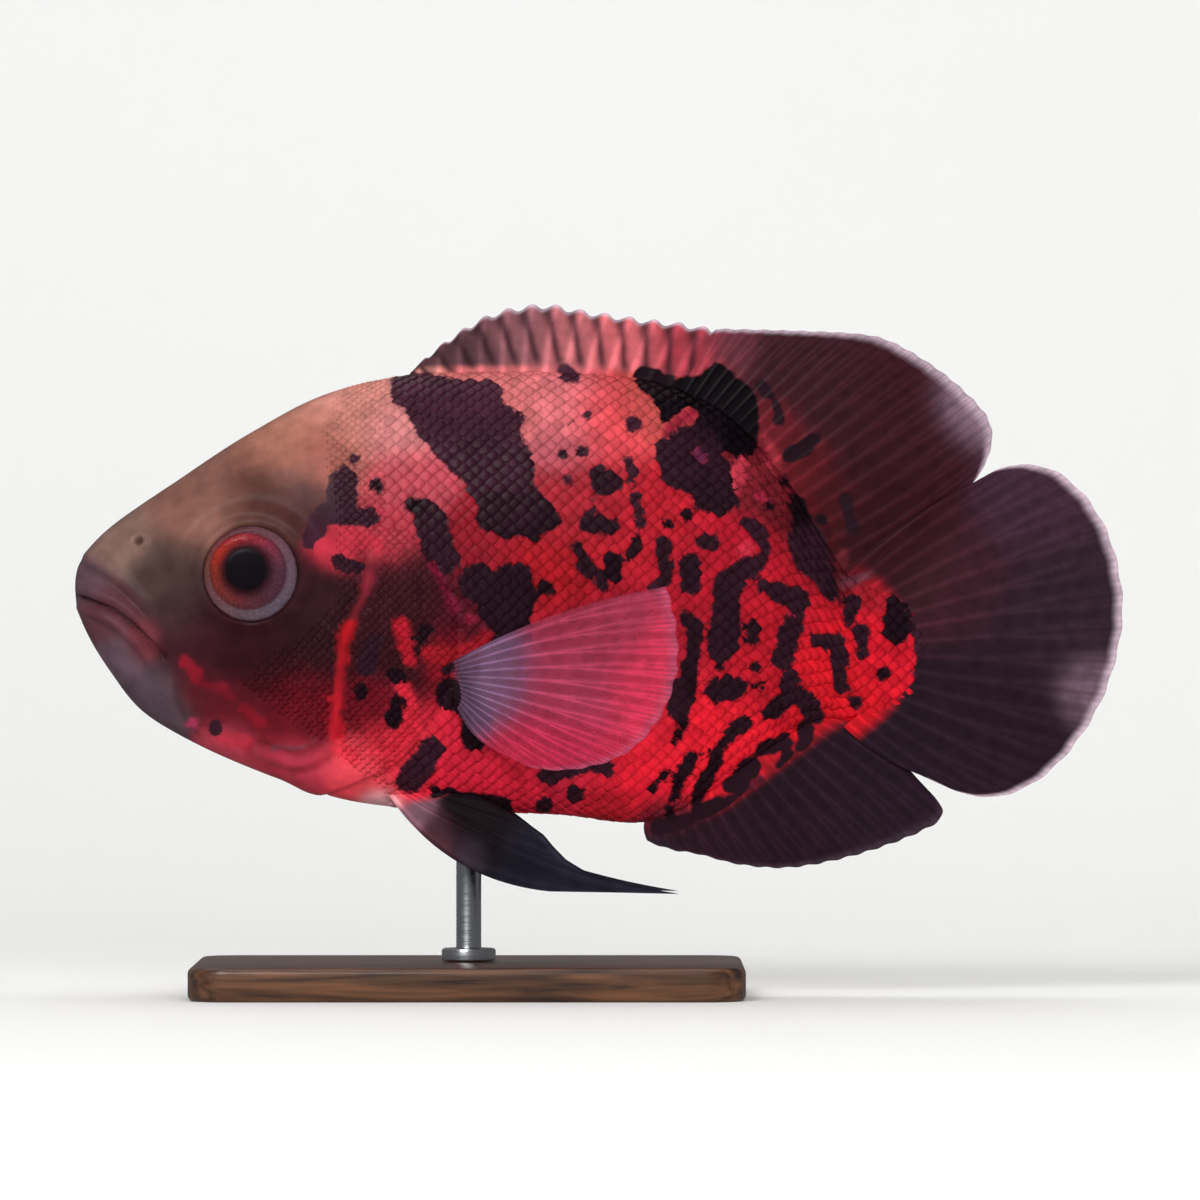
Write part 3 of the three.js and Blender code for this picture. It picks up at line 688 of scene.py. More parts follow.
INK_AND_PAINTED_SHADOW = (
    # The saddle over the nape
    Mark(((408, 388), (450, 398), (484, 402)), 18, 0.85),
    Mark(((440, 412), (462, 440), (488, 462)), 30, 0.6),
    Mark(((505, 420), (512, 450), (520, 480)), 13, 0.6),
    Mark(((490, 470), (510, 500)), 30, 0.4),
    Mark(((498, 515), (536, 515)), 20, 0.2),
    Mark(((502, 533),), 6, 0.1),
    Mark(((535, 537),), 6, 0.1),
    Mark(((553, 522),), 7, 0.15),
    # The temple
    Mark(((346, 482), (344, 505)), 13, 0.5),
    Mark(((328, 512), (372, 520)), 8, 0.45),
    Mark(((322, 522), (314, 540)), 9, 0.6),
    Mark(((379, 488),), 6, 0.2),
    Mark(((357, 461),), 5, 0.7),
    Mark(((342, 563), (360, 569)), 6, 0.35),
    # Behind the cheek and on the shoulder
    Mark(((413, 506), (424, 507)), 7, 0.2),
    Mark(((430, 518), (434, 540), (446, 562)), 14, 0.35),
    Mark(((478, 582), (500, 600)), 17, 0.25),
    Mark(((514, 578), (520, 600)), 15, 0.2),
    Mark(((500, 610), (512, 632)), 20, 0.2),
    Mark(((427, 628), (414, 650)), 6, 0.15),
    Mark(((398, 676),), 7, 0.1),
    Mark(((400, 700), (394, 722)), 7, 0.1),
    Mark(((362, 690),), 7, 0.15),
    Mark(((376, 640), (368, 665)), 9, 0.35),
    # These two are painted shadow: a dark patch on the body under the breast fin's root
    Mark(((450, 692), (470, 702)), 15, 0.2),
    Mark(((478, 712), (474, 736)), 13, 0.15),
    Mark(((448, 668),), 7, 0.3),
    Mark(((432, 748), (420, 765), (408, 780)), 12, 0.5),
    Mark(((218, 726),), 6, 0.6),
    # Small spots on the upper flank
    Mark(((520, 418),), 5, 0.5),
    Mark(((524, 458), (530, 470)), 5, 0.3),
    Mark(((566, 373), (574, 378)), 7, 0.9),
    Mark(((588, 415),), 4, 0.6),
    Mark(((570, 425),), 5, 0.7),
    Mark(((563, 455),), 6, 0.4),
    Mark(((581, 452),), 5, 0.4),
    Mark(((570, 480),), 5, 0.4),
    Mark(((632, 424),), 7, 0.55),
    Mark(((629, 460), (634, 474)), 4, 0.5),
    Mark(((598, 474), (603, 488), (614, 486)), 8, 0.3),
    Mark(((592, 503), (588, 514)), 5, 0.35),
    Mark(((589, 524), (608, 527)), 8, 0.25),
    Mark(((577, 548), (583, 560), (590, 572)), 7, 0.25),
    Mark(((612, 560), (613, 574)), 8, 0.15),
    Mark(((604, 584),), 6, 0.35),
    Mark(((548, 587),), 8, 0.15),
    Mark(((637, 497), (641, 522)), 6, 0.4),
    Mark(((635, 540), (635, 556)), 5, 0.2),
    # The great blotch under the dorsal fin
    Mark(((648, 380), (665, 388)), 13, 0.1),
    Mark(((672, 398), (700, 394), (735, 398)), 17, 0.0),
    Mark(((668, 402), (670, 416)), 9, 0.05),
    Mark(((718, 384), (722, 410), (736, 434)), 18, 0.0),
    Mark(((748, 402), (750, 440)), 8, 0.0),
    Mark(((742, 450),), 9, 0.0),
    Mark(((712, 410), (708, 432)), 13, 0.1),
    Mark(((676, 452), (700, 448)), 21, 0.3),
    Mark(((680, 470), (712, 476)), 20, 0.3),
    Mark(((704, 496), (722, 500)), 13, 0.2),
    Mark(((730, 470), (728, 492)), 6, 0.15),
    # The network on the rear flank
    Mark(((668, 525),), 6, 0.1),
    Mark(((687, 514),), 6, 0.1),
    Mark(((663, 546), (665, 566), (663, 582)), 7, 0.3),
    Mark(((655, 590),), 7, 0.5),
    Mark(((690, 562), (692, 586)), 8, 0.25),
    Mark(((702, 542), (712, 544)), 7, 0.35),
    Mark(((748, 526), (760, 532), (765, 548), (758, 566)), 6, 0.35),
    Mark(((748, 566), (728, 578)), 10, 0.3),
    Mark(((727, 585), (725, 620), (722, 650)), 12, 0.3),
    Mark(((720, 668),), 5, 0.15),
    Mark(((716, 690), (732, 688)), 11, 0.25),
    Mark(((714, 702),), 4, 0.05),
    Mark(((684, 618), (694, 624), (690, 660), (688, 690)), 7, 0.25),
    Mark(((676, 688), (678, 708)), 12, 0.4),
    Mark(((682, 722), (673, 744)), 4, 0.1),
    Mark(((753, 625), (752, 640)), 5, 0.2),
    Mark(((755, 666),), 4, 0.2),
    Mark(((762, 688),), 5, 0.1),
    Mark(((768, 590), (782, 594), (802, 600)), 9, 0.3),
    Mark(((795, 614), (788, 636), (782, 660)), 9, 0.3),
    Mark(((800, 612),), 8, 0.3),
    Mark(((790, 676), (788, 698)), 7, 0.3),
    Mark(((780, 704), (771, 712)), 7, 0.2),
    Mark(((798, 696), (810, 706), (814, 716)), 8, 0.3),
    Mark(((798, 505), (800, 522)), 9, 0.05),
    Mark(((806, 540), (812, 562)), 17, 0.35),
    Mark(((822, 574), (830, 592)), 8, 0.25),
    Mark(((822, 520),), 4, 0.1),
    Mark(((818, 640), (838, 640), (838, 668), (840, 688)), 7, 0.3),
    Mark(((852, 600), (848, 622)), 6, 0.25),
    Mark(((862, 632), (864, 652)), 6, 0.3),
    Mark(((855, 704),), 7, 0.3),
    Mark(((882, 675),), 7, 0.15),
    Mark(((896, 606), (896, 630)), 12, 0.1),
    # Fingers over the root of the anal fin
    Mark(((730, 732), (744, 723)), 6, 0.25),
    Mark(((722, 738), (716, 756), (704, 782), (698, 800)), 5, 0.2),
    Mark(((684, 768), (692, 757)), 6, 0.25),
    Mark(((680, 776), (674, 796), (670, 815)), 5, 0.2),
    Mark(((664, 772), (648, 794)), 4, 0.2),
    Mark(((734, 784), (752, 768)), 9, 0.25),
    Mark(((762, 748), (785, 742)), 7, 0.25),
    Mark(((788, 756), (782, 768)), 6, 0.2),
    Mark(((806, 728), (806, 760), (780, 790)), 8, 0.25),
    Mark(((700, 812), (740, 802), (775, 790)), 9, 0.25),
    Mark(((660, 828), (690, 820)), 8, 0.3),
    # The belly's own streaks, and a painted shadow under the belly fin's root
    Mark(((542, 776), (572, 766), (592, 757), (607, 768)), 8, 0.6),
    Mark(((575, 794),), 8, 0.35),
    Mark(((545, 804),), 8, 0.4),
    # Painted shadow: a dark patch on the belly under the belly fin's root
    Mark(((444, 797), (500, 806)), 10, 0.15),
    # Streaks in the rear of the back
    Mark(((790, 455), (806, 446), (836, 420)), 6, 0.15),
    Mark(((763, 383), (770, 398), (779, 417)), 5, 0.2),
    Mark(((841, 377), (812, 402)), 4, 0.3),
    Mark(((790, 370), (780, 384)), 4, 0.25),
    Mark(((806, 396), (796, 408)), 4, 0.25),
    Mark(((846, 500), (852, 528)), 5, 0.2),
    Mark(((784, 482),), 6, 0.1),
    Mark(((768, 506),), 6, 0.15),
    # The dusky rear of the back, and the end of the tail stalk
    Mark(((940, 545), (938, 610), (932, 670), (918, 730)), 18, 0.5),
)

GLOWS = (
    Glow(((372, 575), (368, 590)), 6, "#7E2434"),
    Glow(((366, 596), (356, 618)), 3, "#6A1C26"),
    Glow(((352, 628), (346, 644), (345, 662)), 6, "#A0141F"),
    Glow(((344, 664), (340, 690)), 4, "#8E1420"),
    Glow(((339, 700), (338, 718), (341, 738)), 7, "#B01A28"),
    Glow(((334, 706), (328, 716)), 3, "#7A1420"),
    Glow(((342, 748), (356, 758)), 9, "#D83A48"),
    Glow(((404, 627), (408, 645), (413, 660)), 7, "#A81A2C"),
    Glow(((405, 684), (412, 704), (410, 730), (396, 746)), 7, "#C02638"),
    Glow(((436, 566), (446, 588), (456, 610)), 5, "#6A1830"),
    Glow(((430, 655), (470, 655), (486, 640)), 8, "#901824"),
    Glow(((472, 618),), 6, "#7E1C34"),
    Glow(((690, 414), (680, 422), (668, 430)), 8, "#8C2436"),
    Glow(((700, 456),), 8, "#5E2440"),
    Glow(((740, 462), (736, 486)), 7, "#B43848"),
    Glow(((764, 404), (772, 440), (776, 470)), 6, "#8C2C36"),
    Glow(((793, 617),), 4, "#7A2444"),
    Glow(((745, 550),), 9, "#B22C40"),
    Glow(((760, 496),), 6, "#A82844"),
    Glow(((840, 584), (862, 578), (876, 570)), 4, "#5E2E38"),
    Glow(((834, 512), (838, 530)), 4, "#6A2026"),
    Glow(((846, 548), (840, 565)), 5, "#5C2028"),
    Glow(((274, 746), (298, 748), (314, 743)), 2, "#7E3A46"),
    Glow(((188, 662), (200, 676)), 7, "#7A1626"),
    Glow(((206, 682), (226, 688), (238, 700)), 5, "#6A1522"),
    Glow(((246, 706), (262, 722)), 6, "#7A1624"),
    Glow(((222, 738), (250, 742)), 6, "#B03244"),
    Glow(((196, 722),), 7, "#A8385A"),
    Glow(((325, 549), (350, 540), (378, 544)), 10, "#AC3040"),
    Glow(((744, 790), (760, 780)), 4, "#6E2038"),
    Glow(((768, 762),), 8, "#B01C28"),
)


@dataclass
class Markings:
    """The fish's colours and blotches, alike on skin, scales and fins."""

    edge_noise: Grain = field(default_factory=lambda: Grain(seed=11, size=3.1))
    fine_noise: Grain = field(default_factory=lambda: Grain(seed=12, size=1.1))
    far_bend: Grain = field(default_factory=lambda: Grain(seed=13, size=17.0))
    far_bend_up: Grain = field(default_factory=lambda: Grain(seed=14, size=17.0))
    far_bend_size: float = 5.0
    far_side: Range = (2.0, 12.0)
    raggedness: float = 0.5
    fine_raggedness: float = 0.35
    glow_raggedness: float = 1.3
    glow_edge: Range = (-0.8, 0.6)
    thin_reach: float = 1e-3
    ink_spread: float = 0.35
    no_ink: float = 5.2
    depth: float = 1.08
    tail_takes_over: tuple[float, float] = (78.5, 83.5)
    tail_match: float = 0.85

    def __post_init__(self) -> None:
        """Turns the pixels of each mark into places on the fish."""
        self.ink = [(from_photo(m.path), m.half_width * PHOTO_MM, m.tone) for m in INK_AND_PAINTED_SHADOW]
        self.glows = [(from_photo(g.path), g.half_width * PHOTO_MM, g.colour) for g in GLOWS]

    def places(self, spots: Points) -> Points:
        """Where points look up their markings: the far side's are bent, so the sides differ.

        Args:
            spots: points of the fish.

        Returns:
            x and z of each.
        """
        x, y, z = spots.T
        bend = self.far_bend_size * ease(y, *self.far_side)
        return np.stack([x + bend * self.far_bend.at(x, z), z + bend * self.far_bend_up.at(x, z)], 1)

    def ground(self, flat: Points, zones: tuple[Zone, ...]) -> Points:
        """The colour under the blotches, blended from soft zones.

        Args:
            flat: x and z of each place.
            zones: the zones to blend.

        Returns:
            One linear colour in a row.
        """
        x, z = flat.T
        tint = np.zeros((len(flat), 3))
        total = np.zeros(len(flat))
        for zone in zones:
            centre = from_photo((zone.centre,))[0]
            away = np.hypot(x - centre[0], z - centre[1]) / (zone.reach * PHOTO_MM)
            weight = hump(away, 1) + self.thin_reach / (1 + away**4)
            tint += weight[:, None] * np.array(linear(zone.colour))
            total += weight
        return tint / total[:, None]

    def paint_fin(
        self, spots: Points, out: Values, past: Values, zones: tuple[Zone, ...]
    ) -> dict[str, Values]:
        """The markings on a fin, which go over from the body's to its own.

        Args:
            spots: points in millimetres, one in a row.
            out: how far the fin's own colours have taken over at each, from 0 to 1.
            past: how far each is past the last blotches, from 0 to 1.
            zones: the fin's own colours.

        Returns:
            The same kinds of value as on the body.
        """
        painted = self.paint(spots)
        own = self.ground(spots[:, [0, 2]], zones) ** self.depth
        painted["tint"] = blend(painted["tint"], own, out)
        painted["ink"] = painted["ink"] + self.no_ink * past
        return painted

    def paint(self, spots: Points) -> dict[str, Values]:
        """The markings at points of the fish.

        Args:
            spots: points in millimetres, one in a row.

        Returns:
            tint is the skin's colour, ink the distance to the nearest blotch or painted shadow,
            below zero inside it, and tone how light that blotch is.
        """
        flat = self.places(spots)
        x, z = flat.T
        tint = self.ground(flat, FLESH_ZONES)

        ink = np.full(len(flat), 1e3)
        tone = np.zeros(len(flat))
        weights = np.zeros(len(flat))
        for path, half_width, lightness in self.ink:
            away = distance_to_line(flat, path) - half_width
            ink = np.minimum(ink, away)
            weight = 1 / (1 + np.maximum(away, 0)) ** 6
            tone += weight * lightness
            weights += weight
        ragged = self.raggedness * self.edge_noise.at(x, z)
        ragged += self.fine_raggedness * self.fine_noise.at(x, z)
        for path, half_width, colour in self.glows:
            away = distance_to_line(flat, path) - half_width - self.glow_raggedness * ragged
            ink = np.maximum(ink, -away)
            tint = blend(tint, linear(colour), 1 - ease(away, *self.glow_edge))
        tint = tint**self.depth

        over_tail = ease(x, *self.tail_takes_over)
        on_tail = over_tail > 0
        own = self.tail_match * self.ground(flat[on_tail], FIN_ZONES) ** self.depth
        tint[on_tail] = blend(tint[on_tail], own, over_tail[on_tail])
        spread = ink + ragged - self.ink_spread + self.no_ink * over_tail
        return {"tint": tint, "ink": spread, "tone": tone / weights}


def set_place(mesh: bpy.types.Mesh, spots: Points) -> None:
    """Moves a mesh's vertices.

    Args:
        mesh: the mesh to move.
        spots: their places in millimetres.
    """
    mesh.vertices.foreach_set("co", (spots * MM).astype(np.float32).ravel())
    mesh.update()


def corners_of(mesh: bpy.types.Mesh) -> Points:
    """A mesh's vertices as they stand.

    Args:
        mesh: the mesh.

    Returns:
        One place in a row.
    """
    spots = np.empty(len(mesh.vertices) * 3, np.float32)
    mesh.vertices.foreach_get("co", spots)
    return spots.reshape(-1, 3).astype(float)


def keep(mesh: bpy.types.Mesh, **kept: Values) -> None:
    """Stores numbers and colours at each vertex, for the material to read.

    Args:
        mesh: the mesh that carries them.
        kept: by the attribute's name, one number, or three, for each vertex.
    """
    for name, values in kept.items():
        if values.ndim == 1:
            layer = mesh.attributes.new(name, "FLOAT", "POINT")
            layer.data.foreach_set("value", values.astype(np.float32))
            continue
        full = np.concatenate([values, np.ones((len(values), 1))], 1).astype(np.float32)
        layer = mesh.attributes.new(name, "FLOAT_COLOR", "POINT")
        layer.data.foreach_set("color", full.ravel())


def keep_bake_map(mesh: bpy.types.Mesh, places: Points) -> None:
    """Gives a mesh its bake map from a place for each vertex, closed over the seam at the belly.

    Args:
        mesh: the mesh that carries it.
        places: u and v of each vertex, from 0 to 1, with v running round the fish.
    """
    loops = np.empty(len(mesh.loops), np.int32)
    mesh.loops.foreach_get("vertex_index", loops)
    uv = places[loops]
    starts = np.empty(len(mesh.polygons), np.int32)
    mesh.polygons.foreach_get("loop_start", starts)
    sizes = np.empty(len(mesh.polygons), np.int32)
    mesh.polygons.foreach_get("loop_total", sizes)
    face = np.repeat(np.arange(len(starts)), sizes)
    high = np.maximum.reduceat(uv[:, 1], starts)
    low = np.minimum.reduceat(uv[:, 1], starts)
    wrapped = (high - low > 0.5)[face] & (uv[:, 1] < 0.5)
    uv[:, 1] = (uv[:, 1] + wrapped) * 0.97
    layer = mesh.uv_layers.new(name=BAKE_MAP)
    layer.data.foreach_set("uv", uv.astype(np.float32).ravel())


def smooth(mesh: bpy.types.Mesh) -> None:
    """Turns a closed mesh's faces outwards and shades them smooth.

    Args:
        mesh: the mesh.
    """
    spots = corners_of(mesh)
    mesh.calc_loop_triangles()
    corners = np.empty(len(mesh.loop_triangles) * 3, np.int32)
    mesh.loop_triangles.foreach_get("vertices", corners)
    a, b, c = (spots[corners[i::3]] for i in range(3))
    if np.einsum("ij,ij->", a, np.cross(b, c)) < 0:
        mesh.flip_normals()
    mesh.polygons.foreach_set("use_smooth", np.ones(len(mesh.polygons), bool))
    mesh.update()


def mesh_from(name: str, form: bmesh.types.BMesh) -> bpy.types.Mesh:
    """Turns a finished bmesh into a mesh and frees it.

    Args:
        name: the mesh's name.
        form: its shape.

    Returns:
        The mesh.
    """
    mesh = bpy.data.meshes.new(name)
    form.to_mesh(mesh)
    form.free()
    return mesh


def slab(name: str, columns: int, rows: int) -> bpy.types.Mesh:
    """A flat closed plate from -1 to 1 each way, with its two faces at heights 0 and 1.

    Args:
        name: the mesh's name.
        columns: how many cells it has along x.
        rows: how many along y.

    Returns:
        The plate.
    """
    form = bmesh.new()
    bmesh.ops.create_grid(form, x_segments=columns, y_segments=rows, size=1)
    made = bmesh.ops.extrude_face_region(form, geom=form.faces[:])
    raised = [v for v in made["geom"] if isinstance(v, bmesh.types.BMVert)]
    bmesh.ops.translate(form, vec=(0, 0, 1), verts=raised)
    bmesh.ops.recalc_face_normals(form, faces=form.faces[:])
    return mesh_from(name, form)


def chain(form: bmesh.types.BMesh, places: list[tuple[float, float, float]]) -> tuple[list, list]:
    """Adds a line of edges to a bmesh.

    Args:
        form: the bmesh.
        places: the line's corners in order.

    Returns:
        The new corners and edges.
    """
    corners = [form.verts.new(place) for place in places]
    return corners, [form.edges.new(pair) for pair in zip(corners[:-1], corners[1:])]


def turned(name: str, profile: Profile, steps: int) -> bpy.types.Mesh:
    """Turns a profile round the upright axis, closed at both poles.

    Args:
        name: the mesh's name.
        profile: radius and height of each corner, from pole to pole.
        steps: how many faces go round.

    Returns:
        The turned mesh.
    """
    form = bmesh.new()
    corners, edges = chain(form, [(radius, 0, height) for radius, height in profile])
    bmesh.ops.spin(
        form,
        geom=corners + edges,
        cent=(0, 0, 0),
        axis=(0, 0, 1),
        angle=2 * math.pi,
        steps=steps,
        use_merge=True,
    )
    bmesh.ops.remove_doubles(form, verts=form.verts[:], dist=1e-4)
    bmesh.ops.recalc_face_normals(form, faces=form.faces[:])
    return mesh_from(name, form)


def round_off(form: bmesh.types.BMesh, edges: list, reach: float, segments: int) -> None:
    """Rounds some edges of a bmesh.

    Args:
        form: the bmesh.
        edges: the edges to round.
        reach: how far the round goes from each edge.
        segments: how many faces it has.
    """
    bmesh.ops.bevel(
        form,
        geom=edges,
        offset=reach,
        offset_type="OFFSET",
        affect="EDGES",
        segments=segments,
        profile=0.5,
        material=-1,
    )


def in_scene(name: str, data: bpy.types.ID) -> bpy.types.Object:
    """Makes an object of a mesh, a light or a camera, and puts it in the scene.

    Args:
        name: the object's name.
        data: what it holds.

    Returns:
        The new object.
    """
    holder = bpy.data.objects.new(name, data)
    bpy.context.scene.collection.objects.link(holder)
    return holder


def add_piece(
    name: str,
    mesh: bpy.types.Mesh,
    material: bpy.types.Material,
    nodes: tuple[str, ...] = (),
) -> bpy.types.Object:
    """Puts a mesh in the scene as a piece of the fish or its stand.

    Args:
        name: the piece's name.
        mesh: its mesh, with its place in its vertices.
        material: its finish.
        nodes: the solids that it stands for.

    Returns:
        The new object.
    """
    piece = in_scene(name, mesh)
    mesh.materials.clear()
    mesh.materials.append(material)
    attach(piece, BODY)
    if nodes:
        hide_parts(*nodes)
    LOG.info("%s: %d faces", name, len(mesh.polygons))
    return piece


def add_node(
    tree: bpy.types.NodeTree,
    kind: str,
    inputs: dict[str | int, Any] | None = None,
    **settings: Any,
) -> bpy.types.Node:
    """Adds one node with its settings and its inputs.

    Args:
        tree: the material's tree.
        kind: the node's type.
        inputs: a value or another node's output for each named or numbered input.
        settings: the node's own settings.

    Returns:
        The new node.
    """
    node = tree.nodes.new(kind)
    for name, value in settings.items():
        setattr(node, name, value)
    for name, value in (inputs or {}).items():
        if isinstance(value, bpy.types.NodeSocket):
            tree.links.new(value, node.inputs[name])
        else:
            node.inputs[name].default_value = value
    return node


@dataclass
class Graph:
    """A new material and its nodes, with the steps that several finishes share."""

    name: str

    def __post_init__(self) -> None:
        """Starts the material empty."""
        self.material = bpy.data.materials.new(self.name)
        self.material.use_nodes = True
        self.tree = self.material.node_tree
        self.tree.nodes.clear()

    def read(self, name: str, part: str = "Fac") -> Socket:
        """A value that the mesh carries at each vertex."""
        return add_node(self.tree, "ShaderNodeAttribute", attribute_name=name).outputs[part]

    def noise(
        self,
        size_mm: float,
        detail: float = 2.0,
        distortion: float = 0.0,
        stretch: tuple[float, float, float] = (1.0, 1.0, 1.0),
    ) -> Socket:
        """Noise over the piece's own coordinates.

        Args:
            size_mm: how far apart its features are.
            detail: how many finer layers it has.
            distortion: how far it is bent.
            stretch: the scale along each axis, below 1 where it is drawn out.

        Returns:
            The noise, from 0 to 1.
        """
        place = add_node(self.tree, "ShaderNodeTexCoord").outputs["Object"]
        mapped = add_node(self.tree, "ShaderNodeMapping", {"Vector": place, "Scale": stretch})
        inputs = {
            "Vector": mapped.outputs[0],
            "Scale": 1 / (size_mm * MM),
            "Detail": detail,
            "Distortion": distortion,
        }
        return add_node(self.tree, "ShaderNodeTexNoise", inputs).outputs["Fac"]

    def remap(
        self, value: Socket, old: Range = (0.0, 1.0), new: Range = (0.0, 1.0), curve: str = "LINEAR"
    ) -> Socket:
        """Carries a value from one range to another.

        Args:
            value: what to carry.
            old: the range that it comes from.
            new: the range that it goes to.
            curve: the node's kind of interpolation.

        Returns:
            The value in the new range.
        """
        inputs = {"Value": value}
        inputs |= {"From Min": old[0], "From Max": old[1], "To Min": new[0], "To Max": new[1]}
        node = add_node(self.tree, "ShaderNodeMapRange", inputs, interpolation_type=curve)
        return node.outputs[0]

    def work_out(self, operation: str, *values: Socket | float) -> Socket:
        """One sum of up to three values."""
        inputs = dict(enumerate(values))
        return add_node(self.tree, "ShaderNodeMath", inputs, operation=operation).outputs[0]

    def mix(self, share: Socket, under: Any, over: Any) -> Socket:
        """Goes over from one colour to another by a share."""
        inputs = {0: share, 6: under, 7: over}
        return add_node(self.tree, "ShaderNodeMix", inputs, data_type="RGBA").outputs[2]

    def lit(self, colour: Any, light: Socket) -> Socket:
        """A colour made lighter or darker."""
        inputs = {0: colour, "Scale": light}
        return add_node(self.tree, "ShaderNodeVectorMath", inputs, operation="SCALE").outputs[0]

    def ink(self) -> Socket:
        """The colour of the blotches and painted shadows, by the tone that the mesh carries."""
        return self.mix(self.read("tone"), opaque(INK_BLACK), opaque(INK_PLUM))

    def bump(self, height: Socket, depth_mm: float, strength: float) -> Socket:
        """A fine relief that only turns the light."""
        inputs = {"Strength": strength, "Distance": depth_mm * MM, "Height": height}
        return add_node(self.tree, "ShaderNodeBump", inputs).outputs[0]

    def finish(self, surface: dict[str, Any]) -> bpy.types.Material:
        """Ends the material in one principled surface.

        Args:
            surface: the shader's inputs.

        Returns:
            The finished material.
        """
        shader = add_node(self.tree, "ShaderNodeBsdfPrincipled", surface)
        add_node(self.tree, "ShaderNodeOutputMaterial", {"Surface": shader.outputs[0]})
        return self.material


@dataclass(frozen=True)
class FishSkin:
    """Moist skin under thin clear slime: wet-looking, but soft, since the scales break the gloss."""

    name: str = "fish_skin"
    roughness: Range = (0.34, 0.5)
    specular: float = 0.06
    coat: float = 0.05
    coat_roughness: float = 0.2
    edge_softness: float = 0.32
    raggedness: float = 1.1
    grain_mm: float = 0.8
    grain_depth_mm: float = 0.06
    grain_strength: float = 0.5
    mottle_mm: float = 4.5
    mottle: Range = (0.8, 1.22)
    painted_shade: Range = (1.0, 0.6)

    def make(self) -> bpy.types.Material:
        """Builds the finish from the markings that the mesh carries.

        Returns:
            The material.
        """
        graph = Graph(self.name)
        grain = graph.noise(self.grain_mm, detail=3.0)
        ragged = graph.work_out("MULTIPLY_ADD", grain, self.raggedness, -self.raggedness / 2)
        edge = graph.work_out("ADD", graph.read("ink"), ragged)
        mask = graph.remap(edge, (self.edge_softness, -self.edge_softness), curve="SMOOTHSTEP")
        mottle = graph.remap(graph.noise(self.mottle_mm, detail=4.0), NOISE_REACH, self.mottle)
        # Painted shade, read from the mesh: the skin's creases and the scales' roots and rims
        shade = graph.remap(graph.read("shade"), new=self.painted_shade)
        colour = graph.mix(mask, graph.read("tint", "Color"), graph.ink())
        return graph.finish(
            {
                "Base Color": graph.lit(graph.lit(colour, mottle), shade),
                "Roughness": graph.remap(grain, NOISE_REACH, self.roughness),
                "Specular IOR Level": self.specular,
                "Normal": graph.bump(grain, self.grain_depth_mm, self.grain_strength),
                "Coat Weight": self.coat,
                "Coat Roughness": self.coat_roughness,
            }
        )


@dataclass(frozen=True)
class FinMembrane:
    """Thin skin stretched over soft rays: satin, with the rays a shade off the membrane."""

    name: str = "fin_membrane"
    roughness: float = 0.45
    specular: float = 0.07
    coat: float = 0.03
    coat_roughness: float = 0.35
    clearness: float = 0.0
    web_to_ray: Range = (0.8, 1.35)
    fleck_mm: float = 3.0
    fleck: Range = (0.82, 1.2)
    ink_edge: Range = (0.5, -0.5)
    joint_mm: float = 1.3
    joint_depth_mm: float = 0.05
    joint_strength: float = 0.35

    def make(self) -> bpy.types.Material:
        """Builds the finish from the markings and the rays that the mesh carries.

        Returns:
            The material.
        """
        graph = Graph(self.name)
        ray = graph.read("ray")
        fleck = graph.remap(graph.noise(self.fleck_mm, detail=4.0), NOISE_REACH, self.fleck)
        light = graph.work_out("MULTIPLY", graph.remap(ray, new=self.web_to_ray), fleck)
        tint = graph.lit(graph.read("tint", "Color"), light)
        mask = graph.remap(graph.read("ink"), self.ink_edge, curve="SMOOTHSTEP")
        turn = graph.work_out("MULTIPLY", graph.read("ray_mm"), 2 * math.pi / self.joint_mm)
        joints = graph.work_out("MULTIPLY", graph.work_out("SINE", turn), ray)
        surface = {
            "Base Color": graph.mix(mask, tint, graph.ink()),
            "Roughness": self.roughness,
            "Specular IOR Level": self.specular,
            "Normal": graph.bump(joints, self.joint_depth_mm, self.joint_strength),
            "Coat Weight": self.coat,
            "Coat Roughness": self.coat_roughness,
        }
        if self.clearness:
            surface["Alpha"] = graph.remap(graph.read("body"), new=(1 - self.clearness, 1.0))
        return graph.finish(surface)


@dataclass(frozen=True)
class EyeTissue:
    """A fish's eye under its clear front: a red iris with a dark pupil, in a grey ring."""

    name: str = "eye_tissue"
    fibre_mm: float = 0.7
    fibre: Range = (0.7, 1.3)
    roughness: float = 0.35
    specular: float = 0.12

    def make(self) -> bpy.types.Material:
        """Builds the finish from the colour that the mesh carries.

        Returns:
            The material.
        """
        graph = Graph(self.name)
        fibre = graph.noise(self.fibre_mm, detail=5.0, distortion=0.6)
        light = graph.remap(fibre, NOISE_REACH, self.fibre)
        return graph.finish(
            {
                "Base Color": graph.lit(graph.read("tint", "Color"), light),
                "Roughness": self.roughness,
                "Specular IOR Level": self.specular,
            }
        )


@dataclass(frozen=True)
class ClearCornea:
    """The eye's clear wet front: nearly unseen but for the highlight on it."""

    name: str = "clear_cornea"
    bend: float = 1.25
    gloss_share: float = 0.45
    roughness: float = 0.04

    def make(self) -> bpy.types.Material:
        """Builds a clear front that shines on its outer face alone.

        Returns:
            The material.
        """
        graph = Graph(self.name)
        tree = graph.tree
        inner_face = add_node(tree, "ShaderNodeNewGeometry").outputs["Backfacing"]
        outer = graph.remap(inner_face, new=(self.gloss_share, 0.0))
        bend = add_node(tree, "ShaderNodeFresnel", {"IOR": self.bend}).outputs[0]
        gloss = graph.work_out("MULTIPLY", bend, outer)
        clear = add_node(tree, "ShaderNodeBsdfTransparent").outputs[0]
        wet = add_node(tree, "ShaderNodeBsdfAnisotropic", {"Roughness": self.roughness}).outputs[0]
        both = add_node(tree, "ShaderNodeMixShader", {0: gloss, 1: clear, 2: wet}).outputs[0]
        add_node(tree, "ShaderNodeOutputMaterial", {"Surface": both})
        return graph.material


